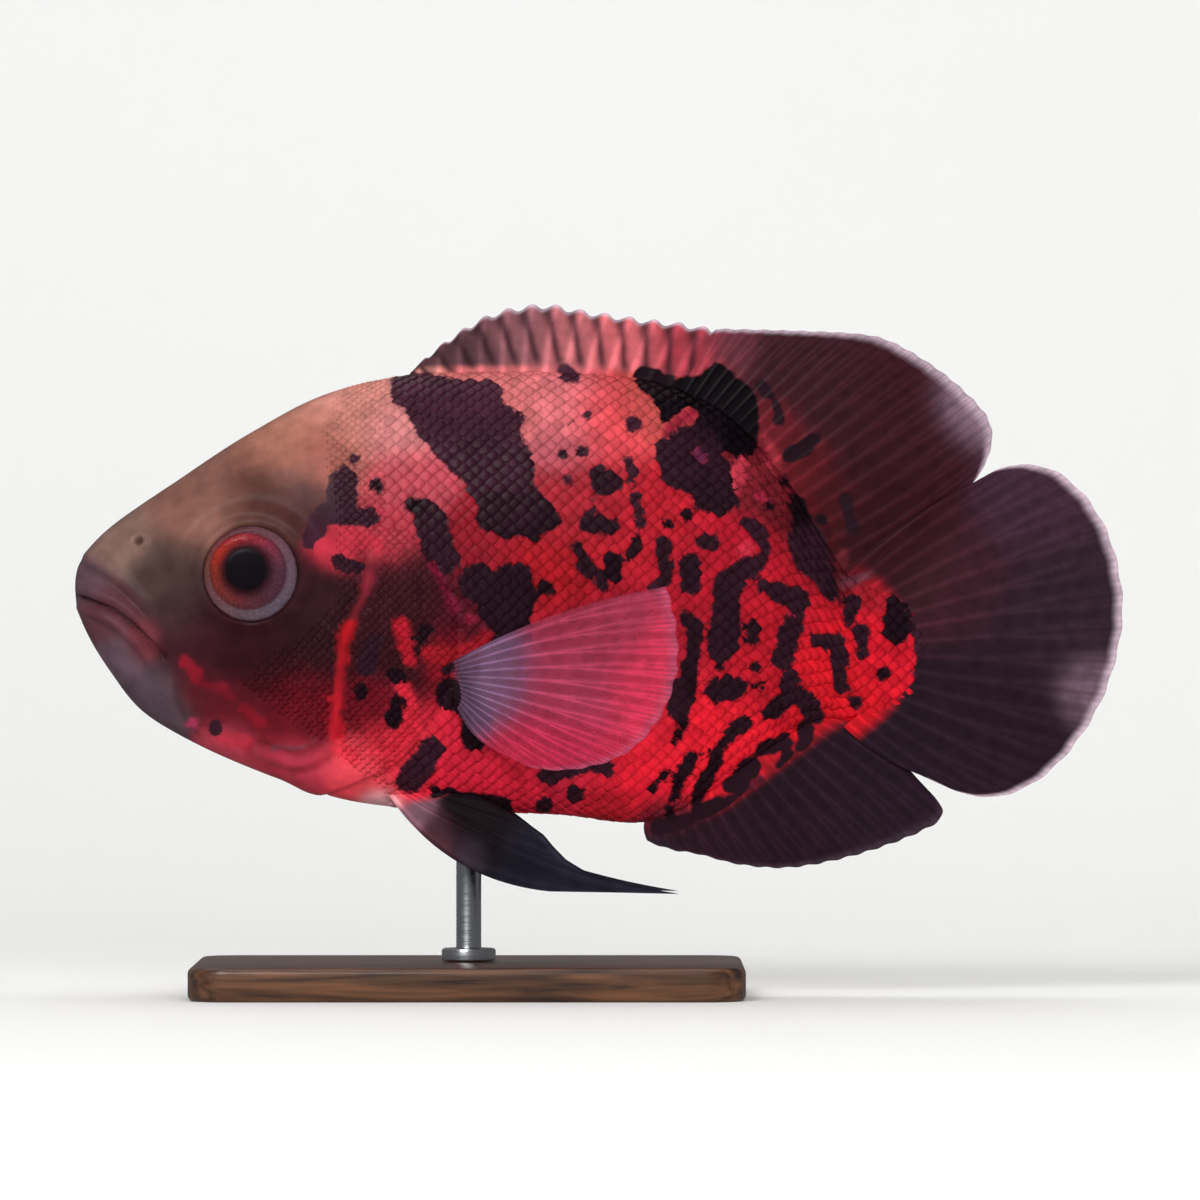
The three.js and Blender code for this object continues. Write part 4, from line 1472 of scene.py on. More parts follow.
@dataclass(frozen=True)
class Walnut:
    """Oiled walnut: dark brown with long streaks of grain and a satin varnish."""

    name: str = "oiled_walnut"
    streak_mm: float = 2.4
    stretch: float = 0.07
    tones: tuple[tuple[float, str], ...] = ((0.32, "#2A1A12"), (0.68, "#6B452C"))
    grain_depth_mm: float = 0.1
    grain_strength: float = 0.25

    def make(self) -> bpy.types.Material:
        """Builds the grain along the board's length.

        Returns:
            The material.
        """
        graph = Graph(self.name)
        stretch = (self.stretch, 1.0, 1.0)
        grain = graph.noise(self.streak_mm, detail=6.0, distortion=0.8, stretch=stretch)
        ramp = add_node(graph.tree, "ShaderNodeValToRGB", {"Fac": grain})
        for stop, (place, tone) in zip(ramp.color_ramp.elements, self.tones):
            stop.position = place
            stop.color = opaque(tone)
        return graph.finish(
            {
                "Base Color": ramp.outputs[0],
                "Roughness": 0.42,
                "Normal": graph.bump(grain, self.grain_depth_mm, self.grain_strength),
                "Coat Weight": 0.35,
                "Coat Roughness": 0.25,
            }
        )


@dataclass(frozen=True)
class BrushedSteel:
    """Turned and brushed stainless steel: grey with fine rings that spread the highlight."""

    name: str = "brushed_steel"
    colour: str = "#B9BBBE"
    ring_mm: float = 0.35
    stretch: float = 0.08
    roughness: Range = (0.22, 0.4)
    ring_depth_mm: float = 0.01
    ring_strength: float = 0.15

    def make(self) -> bpy.types.Material:
        """Builds the rings round the rod.

        Returns:
            The material.
        """
        graph = Graph(self.name)
        brush = graph.noise(self.ring_mm, detail=3.0, stretch=(self.stretch, self.stretch, 1.0))
        return graph.finish(
            {
                "Base Color": opaque(self.colour),
                "Metallic": 1.0,
                "Roughness": graph.remap(brush, NOISE_REACH, self.roughness),
                "Normal": graph.bump(brush, self.ring_depth_mm, self.ring_strength),
            }
        )


@dataclass(frozen=True)
class StudioPaper:
    """A roll of matt pale paper that sweeps up behind the model."""

    name: str = "studio_paper"
    colour: str = "#F7F7F5"
    cloud_mm: float = 300.0
    cloud: Range = (0.985, 1.0)

    def make(self) -> bpy.types.Material:
        """Builds the paper with a very faint unevenness.

        Returns:
            The material.
        """
        graph = Graph(self.name)
        light = graph.remap(graph.noise(self.cloud_mm), new=self.cloud)
        return graph.finish({"Base Color": graph.lit(linear(self.colour), light), "Roughness": 0.9})


@dataclass
class Skin:
    """The fish's one skin, from the snout to the end of the tail stalk."""

    shape: BodyShape
    markings: Markings
    around: int = 300
    rings: int = 320
    under_scales: float = 0.4
    under_solid: float = 0.05
    crease_shade: float = 0.9
    nodes: tuple[str, ...] = (
        "head",
        "upper_jaw",
        "lower_jaw",
        "gill_cover_left",
        "gill_cover_right",
        "trunk",
        "tail_stalk",
    )

    def build(self, finish: FishSkin) -> bpy.types.Object:
        """Shapes a sphere into the body, with its poles at the snout and the tail.

        Args:
            finish: the skin's finish.

        Returns:
            The skin.
        """
        form = bmesh.new()
        bmesh.ops.create_uvsphere(form, u_segments=self.around, v_segments=self.rings, radius=1)
        mesh = mesh_from("skin", form)
        ball = corners_of(mesh)
        along = np.arccos(np.clip(ball[:, 2], -1, 1)) / np.pi
        turn = np.arctan2(ball[:, 1], ball[:, 0])
        smooth_spots = self.shape.smooth_point(along, turn)
        sunk = self.under_scales * scaled_share(self.shape, smooth_spots)
        spots = self.shape.surface(along, turn, -sunk - self.under_solid)
        set_place(mesh, spots)
        smooth(mesh)
        # The skin's markings, with painted shade in its creases
        keep(mesh, **self.markings.paint(spots), shade=self.creases(spots))
        keep_bake_map(mesh, np.stack([along, turn / (2 * np.pi) + 0.5], 1))
        return add_piece("skin", mesh, finish.make(), self.nodes)

    def creases(self, spots: Points) -> Values:
        """The painted shade in the skin's folds: how dark it is there, from 0 to 1."""
        relief = self.shape.relief(spots[:, [0, 2]])
        return np.clip(-relief * self.crease_shade, 0, 1)


# The front edge of the scales: how far along the fish it is at each height
SCALED_HEIGHTS = (48, 58, 75, 95, 115, 135, 150)
SCALED_FROM = (-62, -74, -98, -74, -74, -78, -72)
FRONT_FADE = 16
EYE_MARGIN: Range = (3.0, 8.0)
CHEEK_MARGIN: Range = (0.5, 1.8)
TAIL_FADE: Range = (73, 84)


def scaled_share(shape: BodyShape, spots: Points) -> Values:
    """Where the skin is scaled: behind the eyes and on the cheeks, but not on the snout or jaws.

    Args:
        shape: the body.
        spots: points of it.

    Returns:
        1 where there are scales, and 0 where the skin is bare.
    """
    x, _, z = spots.T
    behind = ease(x - np.interp(z, SCALED_HEIGHTS, SCALED_FROM), 0, FRONT_FADE)
    off_eye = np.hypot(x - shape.eye[0], z - shape.eye[1]) - shape.eye_radius
    off_cheek = distance_to_line(spots[:, [0, 2]], shape.cheek_edge)
    margins = ease(off_eye, *EYE_MARGIN) * ease(off_cheek, *CHEEK_MARGIN)
    return behind * margins * (1 - ease(x, *TAIL_FADE))


@dataclass(frozen=True)
class ScaleRow:
    """How scales are set on a part of the body: their reach, spacing, size and stand."""

    name: str
    reach: Range
    step: float
    row: float
    length: float
    width: float
    tip_lift: float
    cells: int
    seed: int


SCALE_ROWS = (
    ScaleRow("flank", (-62.0, 81.0), 3.5, 3.3, 5.6, 3.9, 0.34, 4, 21),
    ScaleRow("head", (-100.0, -30.0), 2.3, 2.2, 3.6, 2.6, 0.2, 3, 22),
)


@dataclass
class Scales:
    """One part's overlapping scales, each with its root sunk in the skin and its tip to the tail."""

    shape: BodyShape
    markings: Markings
    row: ScaleRow
    side: Side
    head_top: float = 112.0
    head_end: float = -52.0
    levels: int = 60
    overhang: float = 0.3
    unevenness: float = 0.05
    least_share: float = 0.4
    thickness: float = 0.16
    under_skin: float = 0.35
    root_depth: float = 0.5
    arch: float = 0.12
    bare_depth: float = 0.25
    size_spread: float = 0.04
    ink_spread: float = 0.18
    light_spread: float = 0.07
    own_ink: float = 0.35
    root_width: float = 0.82
    root_widens: Range = (-1.0, -0.2)
    tip_taper: float = 0.8
    tip_power: float = 2.4
    tip_round: float = 0.2
    sloped: Range = (-1.0, 0.9)
    least_stand: float = 0.2
    rim_shade: float = 0.42
    side_shade: float = 0.8
    root_shade: float = 0.3
    bare_shade: float = 0.1
    at_edges: float = 0.6
    off_edges: Range = (0.0, 2.5)
    samples: int = 181
    patch: float = 0.003

    def __post_init__(self) -> None:
        """Lays the scales, in rows level with the middle of the flank."""
        draw = np.random.default_rng(self.row.seed + self.side.value)
        self.turns = np.linspace(0, math.pi, self.samples)
        tables, places, which = [], [], []
        for count, x in enumerate(np.arange(*self.row.reach, self.row.step / 2)):
            along = np.full(self.samples, float(self.shape.along_of(np.array(x))))
            ring = self.shape.smooth_point(along, self.turns * self.side.value)
            girth = np.concatenate([[0], np.cumsum(np.linalg.norm(np.diff(ring, axis=0), axis=1))])
            girth -= np.interp(math.pi / 2, self.turns, girth)
            tables.append(girth)
            levels = (np.arange(-self.levels, self.levels) + 0.5 * (count % 2)) * self.row.row
            on_body = (levels > girth[0] - self.overhang) & (levels < girth[-1] + self.overhang)
            for level in levels[on_body]:
                nudge = draw.normal(0, self.unevenness, 2) * self.row.step
                places.append((x + nudge[0], level + nudge[1]))
                which.append(count)
        self.tables, self.places, self.which = np.array(tables), np.array(places), np.array(which)
        kept = self.wanted()
        self.places, self.which = self.places[kept], self.which[kept]
        self.tables = np.maximum.accumulate(self.tables, axis=1)

    def turn_at(self, girth: Points) -> Points:
        """The angle round the fish at each scale's girths from the middle of the flank."""
        rows = [np.interp(g, self.tables[k], self.turns) for g, k in zip(girth, self.which)]
        return np.array(rows) * self.side.value

    def wanted(self) -> Values:
        """Which scales are on this part, and not on bare skin or the other part.

        Returns:
            True for each scale that is kept.
        """
        along = self.shape.along_of(self.places[:, 0])
        spots = self.shape.smooth_point(along, self.turn_at(self.places[:, 1]))
        ahead = self.shape.ahead_of_gill(spots[:, [0, 2]])
        on_head = (ahead > 0) & (spots[:, 2] < self.head_top) | (spots[:, 0] < self.head_end)
        part = on_head if self.row.name == "head" else ~on_head
        return part & (scaled_share(self.shape, spots) > self.least_share)

    def build(self, material: bpy.types.Material) -> bpy.types.Object:
        """Sets every scale of the part as one mesh.

        Args:
            material: the skin's finish.

        Returns:
            The scales.
        """
        row, places = self.row, self.places
        plate = slab("scale", row.cells, row.cells)
        local = corners_of(plate)
        mesh = repeated(f"scales_{row.name}_{self.side.name.lower()}", plate, len(places))
        draw = np.random.default_rng(row.seed * 7 + self.side.value)
        size = draw.normal(1, self.size_spread, len(places))[:, None]

        # Each plate is rounded to its tip, a little narrower at its root, and set along the girth
        a, b, face = local.T
        width = np.sqrt(1 - self.tip_taper * np.clip(a, 0, 1) ** self.tip_power)
        width *= self.root_width + (1 - self.root_width) * ease(a, *self.root_widens)
        x = places[:, 0, None] + size * a * (1 - self.tip_round * b * b) * row.length / 2
        girth = places[:, 1, None] + size * b * width * row.width / 2
        turn = self.turn_at(girth)
        middle = self.shape.along_of(places[:, 0])
        share = scaled_share(self.shape, self.shape.smooth_point(middle, turn.mean(1)))[:, None]

        # Its root is sunk and its tip stands up, less where the scales run out into bare skin
        stand = self.stand()[:, None]
        stand = stand * (self.least_stand + (1 - self.least_stand) * share)
        slope = ease(a, *self.sloped)
        lifts = -self.under_skin - self.root_depth * (1 - slope) - self.arch * b * b
        lifts = lifts + (face - 1) * self.thickness + stand * row.tip_lift * slope
        lifts -= self.bare_depth * (1 - share)
        spots = self.shape.surface(self.shape.along_of(x.ravel()), turn.ravel(), lifts.ravel())
        set_place(mesh, spots)
        smooth(mesh)

        # A scale tends to one tone, and painted shade darkens it under its neighbours and at its rim
        painted = self.markings.paint(spots)
        ink = painted["ink"].reshape(len(places), -1)
        ink = ink + self.own_ink * (ink.mean(1, keepdims=True) - ink)
        painted["ink"] = (ink + draw.normal(0, self.ink_spread, (len(places), 1))).ravel()
        light = draw.normal(1, self.light_spread, len(places)).repeat(len(local))
        painted["tint"] = painted["tint"] * light[:, None]
        rim = np.maximum(ease(a, 0.45, 1.0), ease(np.abs(b), 0.6, 1.0) * self.side_shade)
        shade = self.rim_shade * rim + self.root_shade * (1 - ease(a, -0.9, 0.1))
        shade = (self.bare_shade + (1 - self.bare_shade) * share) * shade
        keep(mesh, **painted, shade=shade.ravel())
        place = np.stack([middle, turn.mean(1) / (2 * np.pi) + 0.5], 1)
        patch = (place[:, None, :] + local[None, :, :2] * self.patch / 2).reshape(-1, 2)
        keep_bake_map(mesh, patch)
        return add_piece(mesh.name, mesh, material)

    def stand(self) -> Values:
        """How far each scale's tip stands up: less by the back and the belly, where sides meet.

        Returns:
            A share of the full lift for each scale.
        """
        top = self.places[:, 1] - self.tables[self.which, 0]
        foot = self.tables[self.which, -1] - self.places[:, 1]
        full = ease(np.minimum(top, foot), *self.off_edges)
        return self.at_edges + (1 - self.at_edges) * full


def repeated(name: str, plate: bpy.types.Mesh, count: int) -> bpy.types.Mesh:
    """Joins many copies of one small mesh, made by an array that is then applied.

    Args:
        name: the new mesh's name.
        plate: the mesh to repeat.
        count: how many copies.

    Returns:
        One mesh with the copies in order.
    """
    holder = in_scene(name, plate)
    array = holder.modifiers.new("copies", "ARRAY")
    array.count = count
    array.use_relative_offset = False
    array.use_constant_offset = True
    array.constant_offset_displace = (4.0, 0.0, 0.0)
    graph = bpy.context.evaluated_depsgraph_get()
    mesh = bpy.data.meshes.new_from_object(holder.evaluated_get(graph), depsgraph=graph)
    mesh.name = name
    bpy.data.objects.remove(holder)
    return mesh


@dataclass
class Fin:
    """A fin: a closed sheet with a raised ray in each of its sectors, thin at its free edge."""

    name: str
    nodes: tuple[str, ...]
    slot: str
    root: Points
    edge: Points
    rays: int
    thick: float
    sway: Callable[[Values, Values, Values], Values]
    bow: Callable[[Values], Values]
    ridge: float = 0.45
    edge_thick: float = 0.3
    notch: float = 0.3
    spiny_notch: float = 1.4
    spiny_share: float = 0.0
    columns: int = 10
    rows: int = 64
    takes_over: tuple[float, float] = (3.0, 9.0)
    ink_ends: tuple[float, float] = (6.4, 9.0)
    zones: tuple[Zone, ...] = FIN_ZONES
    bar: str = "#2E1820"
    margin: str = "#6E5A66"
    margin_share: float = 0.07
    splits: tuple[Range, Range] = ((0.38, 0.8), (0.68, 1.0))
    split_widths: Range = (0.2, 0.085)
    ray_widths: Range = (0.15, 0.08)
    outer_ray: float = 0.65
    spine_height: float = 1.25
    spine_width: float = 0.15
    ray_foot: float = 0.3
    ray_rises: Range = (0.0, 0.35)
    ray_fade: float = 0.6
    bar_slant: float = 1.4
    bar_share: float = 0.85
    bar_width: float = 0.2
    bar_starts: Range = (0.15, 0.35)
    solid_ray: float = 0.75
    solid_root: float = 0.5
    clear_from: Range = (0.0, 0.4)

    def ray_height(self, u: Values, v: Values) -> Values:
        """How high the ray stands at a place on the fin, from 0 between rays to 1 on one.

        Args:
            u: shares of the fin's width.
            v: shares of its length.

        Returns:
            The height. A spine stays whole; a soft ray splits in two half way out, and again
            near the edge.
        """
        t = np.abs(np.mod(self.rays * u, 1) - 0.5)
        once, twice = (w * ease(v, *s) for w, s in zip(self.split_widths, self.splits))
        away = np.abs(np.abs(t - once) - twice)
        width = self.ray_widths[0] + (self.ray_widths[1] - self.ray_widths[0]) * v
        soft = hump(away, width) * (1 - (1 - self.outer_ray) * v)
        spine = self.spine_height * hump(t, self.spine_width)
        return np.where(u < self.spiny_share, spine, soft)

    def build(self, markings: Markings, material: bpy.types.Material) -> bpy.types.Object:
        """Shapes a flat slab into the fin.

        Args:
            markings: the fish's colours.
            material: the fin's finish.

        Returns:
            The fin.
        """
        mesh = slab(self.name, self.columns * self.rays, self.rows)
        u, v, face = ((corners_of(mesh) + (1, 1, 0)) / (2, 2, 1)).T
        height = self.ray_height(u, v)
        spots, reach = self.place(u, v, face * 2 - 1, height)
        set_place(mesh, spots)
        smooth(mesh)
        own = ease(reach, *self.takes_over)
        past = ease(reach, *self.ink_ends)
        painted = markings.paint_fin(spots, own, past, self.zones)
        slant = np.mod(self.rays * u + self.bar_slant * v, 1) - 0.5
        bars = self.bar_share * hump(slant, self.bar_width) * ease(v, *self.bar_starts)
        bars = bars * (u < self.spiny_share)
        rim = ease(v, 1 - self.margin_share, 1.0)
        for share, colour in ((bars, self.bar), (rim, self.margin)):
            painted["tint"] = blend(painted["tint"], linear(colour), share)
        solid = self.solid_ray * height + self.solid_root * (1 - ease(v, *self.clear_from))
        keep(mesh, **painted, ray=height, ray_mm=reach, body=np.clip(solid, 0, 1))
        half = np.where(face > 0.5, 0.5, 0.0)
        keep_bake_map(mesh, np.stack([half + u * 0.49, v * 0.49 + 0.005], 1))
        return add_piece(self.name, mesh, material, self.nodes)

    def place(self, u: Values, v: Values, face: Values, height: Values) -> tuple[Points, Values]:
        """Where points of the slab lie on the fin.

        Args:
            u: shares of the fin's width.
            v: shares of its length.
            face: -1 or 1 for the side that the point is on.
            height: how high the ray stands there.

        Returns:
            The points, and how far along its ray each is.
        """
        share = np.linspace(0, 1, len(self.root))
        start = np.stack([np.interp(u, share, self.root[:, i]) for i in range(2)], 1)
        share = np.linspace(0, 1, len(self.edge))
        end = np.stack([np.interp(u, share, self.edge[:, i]) for i in range(2)], 1)
        ray = end - start
        length = np.hypot(*ray.T)
        t = np.abs(np.mod(self.rays * u, 1) - 0.5)
        notch = np.where(u < self.spiny_share, self.spiny_notch, self.notch)
        reach = v * (1 - notch * (1 - np.cos(2 * np.pi * t)) / 2 / length)
        bend = 4 * reach * (1 - reach) * self.bow(u)
        x = start[:, 0] + ray[:, 0] * reach - ray[:, 1] / length * bend
        z = start[:, 1] + ray[:, 1] * reach + ray[:, 0] / length * bend
        skin = self.thick + (self.edge_thick - self.thick) * np.sqrt(v)
        rise = self.ray_foot + (1 - self.ray_foot) * ease(v, *self.ray_rises)
        stand = height * rise * (1 - self.ray_fade * v)
        half = (skin + self.ridge * stand) / 2
        y = self.sway(x, z, v) + face * half
        return np.stack([x, y, z], 1), reach * length


def line_of(*corners: tuple[float, float], pieces: int = 160) -> Points:
    """A smooth line through a few places in the side view, in millimetres."""
    return smooth_line(np.array(corners, float), pieces)


def along_back(
    shape: BodyShape, start: float, end: float, sunk: float, pieces: int
) -> Points:
    """A fin's root line, a little under the back.

    Args:
        shape: the body.
        start: where it starts along the fish.
        end: where it ends.
        sunk: how far it lies under the skin.
        pieces: how many straight pieces to give back.

    Returns:
        x and z of points along it.
    """
    x = np.linspace(start, end, pieces + 1)
    return np.stack([x, shape.section(shape.along_of(x))["top"] - sunk], 1)


def along_belly(shape: BodyShape, start: float, end: float, sunk: float) -> Points:
    """A fin's root line, a little over the belly.

    Args:
        shape: the body.
        start: where it starts along the fish.
        end: where it ends.
        sunk: how far it lies inside the skin.

    Returns:
        x and z of points along it.
    """
    x = np.linspace(start, end, 80)
    return np.stack([x, shape.section(shape.along_of(x))["bottom"] + sunk], 1)


def ripple(size: float, length: float) -> Callable[[Values, Values, Values], Values]:
    """A gentle wave across a fin, from nothing at its root.

    Args:
        size: how far it swings at the edge.
        length: one wave's length.

    Returns:
        The wave, from place and share along the ray.
    """
    return lambda x, z, v: size * v * v * np.sin(2 * np.pi * (x + z) / length)


def median_fins(shape: BodyShape) -> list[Fin]:
    """The fins in the fish's middle plane: two parts of the dorsal, the anal and the tail fin.

    Args:
        shape: the body.

    Returns:
        The fins, ready to build.
    """
    sunk = 3.0
    spines, soft_rays, points_per_ray = 13, 19, 9
    rays = spines + soft_rays
    spiny_share = spines / rays
    spiny_edge = line_of(
        (-44.5, 150.6),
        (-38.5, 156),
        (-31, 161.2),
        (-24, 164.4),
        (-13.5, 166.0),
        (-3, 164.4),
        (9.5, 162.6),
        (20, 161.4),
        (28, 160.0),
        pieces=spines * points_per_ray,
    )
    soft_edge = line_of(
        (28, 160.0),
        (45, 159.6),
        (61.5, 158.8),
        (69.6, 157),
        (78.6, 152),
        (86.4, 146),
        (92.6, 139.4),
        (94.2, 134),
        (93, 128.6),
        (90.8, 124.4),
        pieces=soft_rays * points_per_ray,
    )
    spiny_root = along_back(shape, -45.5, 18.6, sunk, spines * points_per_ray)
    soft_root = along_back(shape, 18.6, 58.6, sunk, soft_rays * points_per_ray)
    rear = lambda u: np.clip((u - spiny_share) / (1 - spiny_share), 0, 1)
    dorsal = Fin(
        name="fin_dorsal",
        nodes=("dorsal_fin_spiny", "dorsal_fin_soft"),
        slot="fin",
        root=np.vstack([spiny_root, soft_root[1:]]),
        edge=np.vstack([spiny_edge, soft_edge[1:]]),
        rays=rays,
        thick=2.9,
        sway=lambda x, z, v: 1.3 * v * v * ease(x, 22, 60) * np.sin(2 * np.pi * (x + z) / 62),
        bow=lambda u: 0.8 * np.clip(1 - u / spiny_share, 0, 1) + 6 * rear(u) * (0.6 - rear(u)),
        ridge=0.6,
        spiny_share=spiny_share,
        rows=56,
        takes_over=(3.0, 5.0),
        ink_ends=(12.0, 18.0),
        margin="#A8939F",
    )
    anal = Fin(
        name="fin_anal",
        nodes=("anal_fin",),
        slot="fin",
        root=along_belly(shape, 12.4, 53.2, sunk),
        edge=line_of(
            (11.6, 36.6),
            (17.5, 34.7),
            (24, 33.6),
            (33.5, 31.2),
            (45, 30.4),
            (58, 32.6),
            (71.5, 36.8),
            (80.4, 40.9),
            (82.4, 43.6),
            (81, 46.8),
            (77.6, 50.2),
        ),
        rays=17,
        thick=3.0,
        sway=ripple(1.1, 58),
        bow=lambda u: -1.5 + 3.6 * u * u,
        notch=0.4,
        margin="#3A2C36",
    )
    tail = Fin(
        name="fin_tail",
        nodes=("tail_fin",),
        slot="fin",
        root=line_of((58.4, 101.6), (67, 93.5), (69.6, 82.8), (67, 72), (58.4, 64.4)),
        edge=line_of(
            (91.4, 123.8),
            (96.5, 126.6),
            (103, 127.4),
            (110.3, 125.4),
            (117.5, 118.8),
            (122.8, 109.2),
            (125.5, 97),
            (125, 85.6),
            (121, 72),
            (114, 60),
            (105.5, 51.6),
            (96, 47.6),
            (87, 48.4),
            (79.2, 52),
        ),
        rays=16,
        thick=4.4,
        sway=ripple(1.6, 70),
        bow=lambda u: 1.4 - 2.8 * u,
        notch=0.4,
        rows=80,
        takes_over=(2.0, 6.0),
        ink_ends=(4.4, 6.0),
        margin="#B8A2AE",
        margin_share=0.05,
    )
    return [dorsal, anal, tail]


def paired_fins(shape: BodyShape, side: Side) -> list[Fin]:
    """The breast fin and the belly fin of one side.

    Args:
        shape: the body.
        side: which side.

    Returns:
        The fins, ready to build.
    """
    sign, word = side.value, side.name.lower()
    root_x, root_top, root_foot = -36.4, 79.4, 71.2
    flank = float(shape.half_thickness(np.array(root_x), np.array((root_top + root_foot) / 2)))
    breast = Fin(
        name=f"fin_pectoral_{word}",
        nodes=(f"pectoral_fin_{word}",),
        slot="pectoral",
        root=line_of((root_x, root_top), (root_x + 1.8, root_foot)),
        edge=line_of(
            (16, 98),
            (18.3, 88),
            (18.2, 77),
            (14.4, 67),
            (7.2, 59),
            (-3, 55),
            (-14.5, 54.6),
            (-24, 58.6),
        ),
        rays=13,
        thick=3.2,
        sway=lambda x, z, v: sign
        * (flank - 1.6 + 0.34 * (x - root_x) - 0.0012 * (x - root_x) ** 2),
        bow=lambda u: 2.6 - 4.6 * u,
        ridge=0.5,
        edge_thick=0.25,
        notch=0.5,
        takes_over=(0.0, 3.0),
        ink_ends=(1.7, 3.0),
        zones=BREAST_FIN_ZONES,
        margin="#B04A66",
    )
    front, rear, low = -50.5, -39.5, 49.0
    belly_flank = float(shape.half_thickness(np.array(front), np.array(low)))
    tips = np.array(
        [(-12, 25.2), (19.2, 24.6), (-1, 28), (-8.2, 32.2), (-13.6, 38.2), (-18.6, 42)]
    )
    at = (np.arange(len(tips)) + 0.5) / len(tips)
    even = np.linspace(0, 1, 240)
    belly = Fin(
        name=f"fin_pelvic_{word}",
        nodes=(f"pelvic_fin_{word}",),
        slot="fin",
        root=line_of((front, low - 0.8), (rear, low)),
        edge=np.stack([np.interp(even, at, tips[:, i]) for i in range(2)], 1),
        rays=len(tips),
        thick=2.8,
        sway=lambda x, z, v: sign
        * (
            belly_flank
            - 1.2
            + 0.42 * np.maximum(0, low - z)
            - 0.011 * np.maximum(0, low - z) ** 2
        ),
        bow=lambda u: -5.2 + 7.2 * u,
        ridge=0.7,
        columns=12,
        rows=90,
        takes_over=(1.0, 5.0),
        ink_ends=(3.0, 5.0),
        margin="#2A2834",
    )
    return [breast, belly]


# The iris and the ring go through these colours round the eye, from behind by way of below
WHEEL_DEGREES = (-180, -120, -60, 0, 50, 100, 150, 180)
IRIS_WHEEL = (
    "#6E2218",
    "#5A2222",
    "#40202A",
    "#442432",
    "#6A2434",
    "#7E1620",
    "#8A2214",
    "#6E2218",
)
RING_WHEEL = (
    "#563230",
    "#543C42",
    "#4E424C",
    "#54404A",
    "#5C3C44",
    "#4A262C",
    "#602E2E",
    "#563230",
)


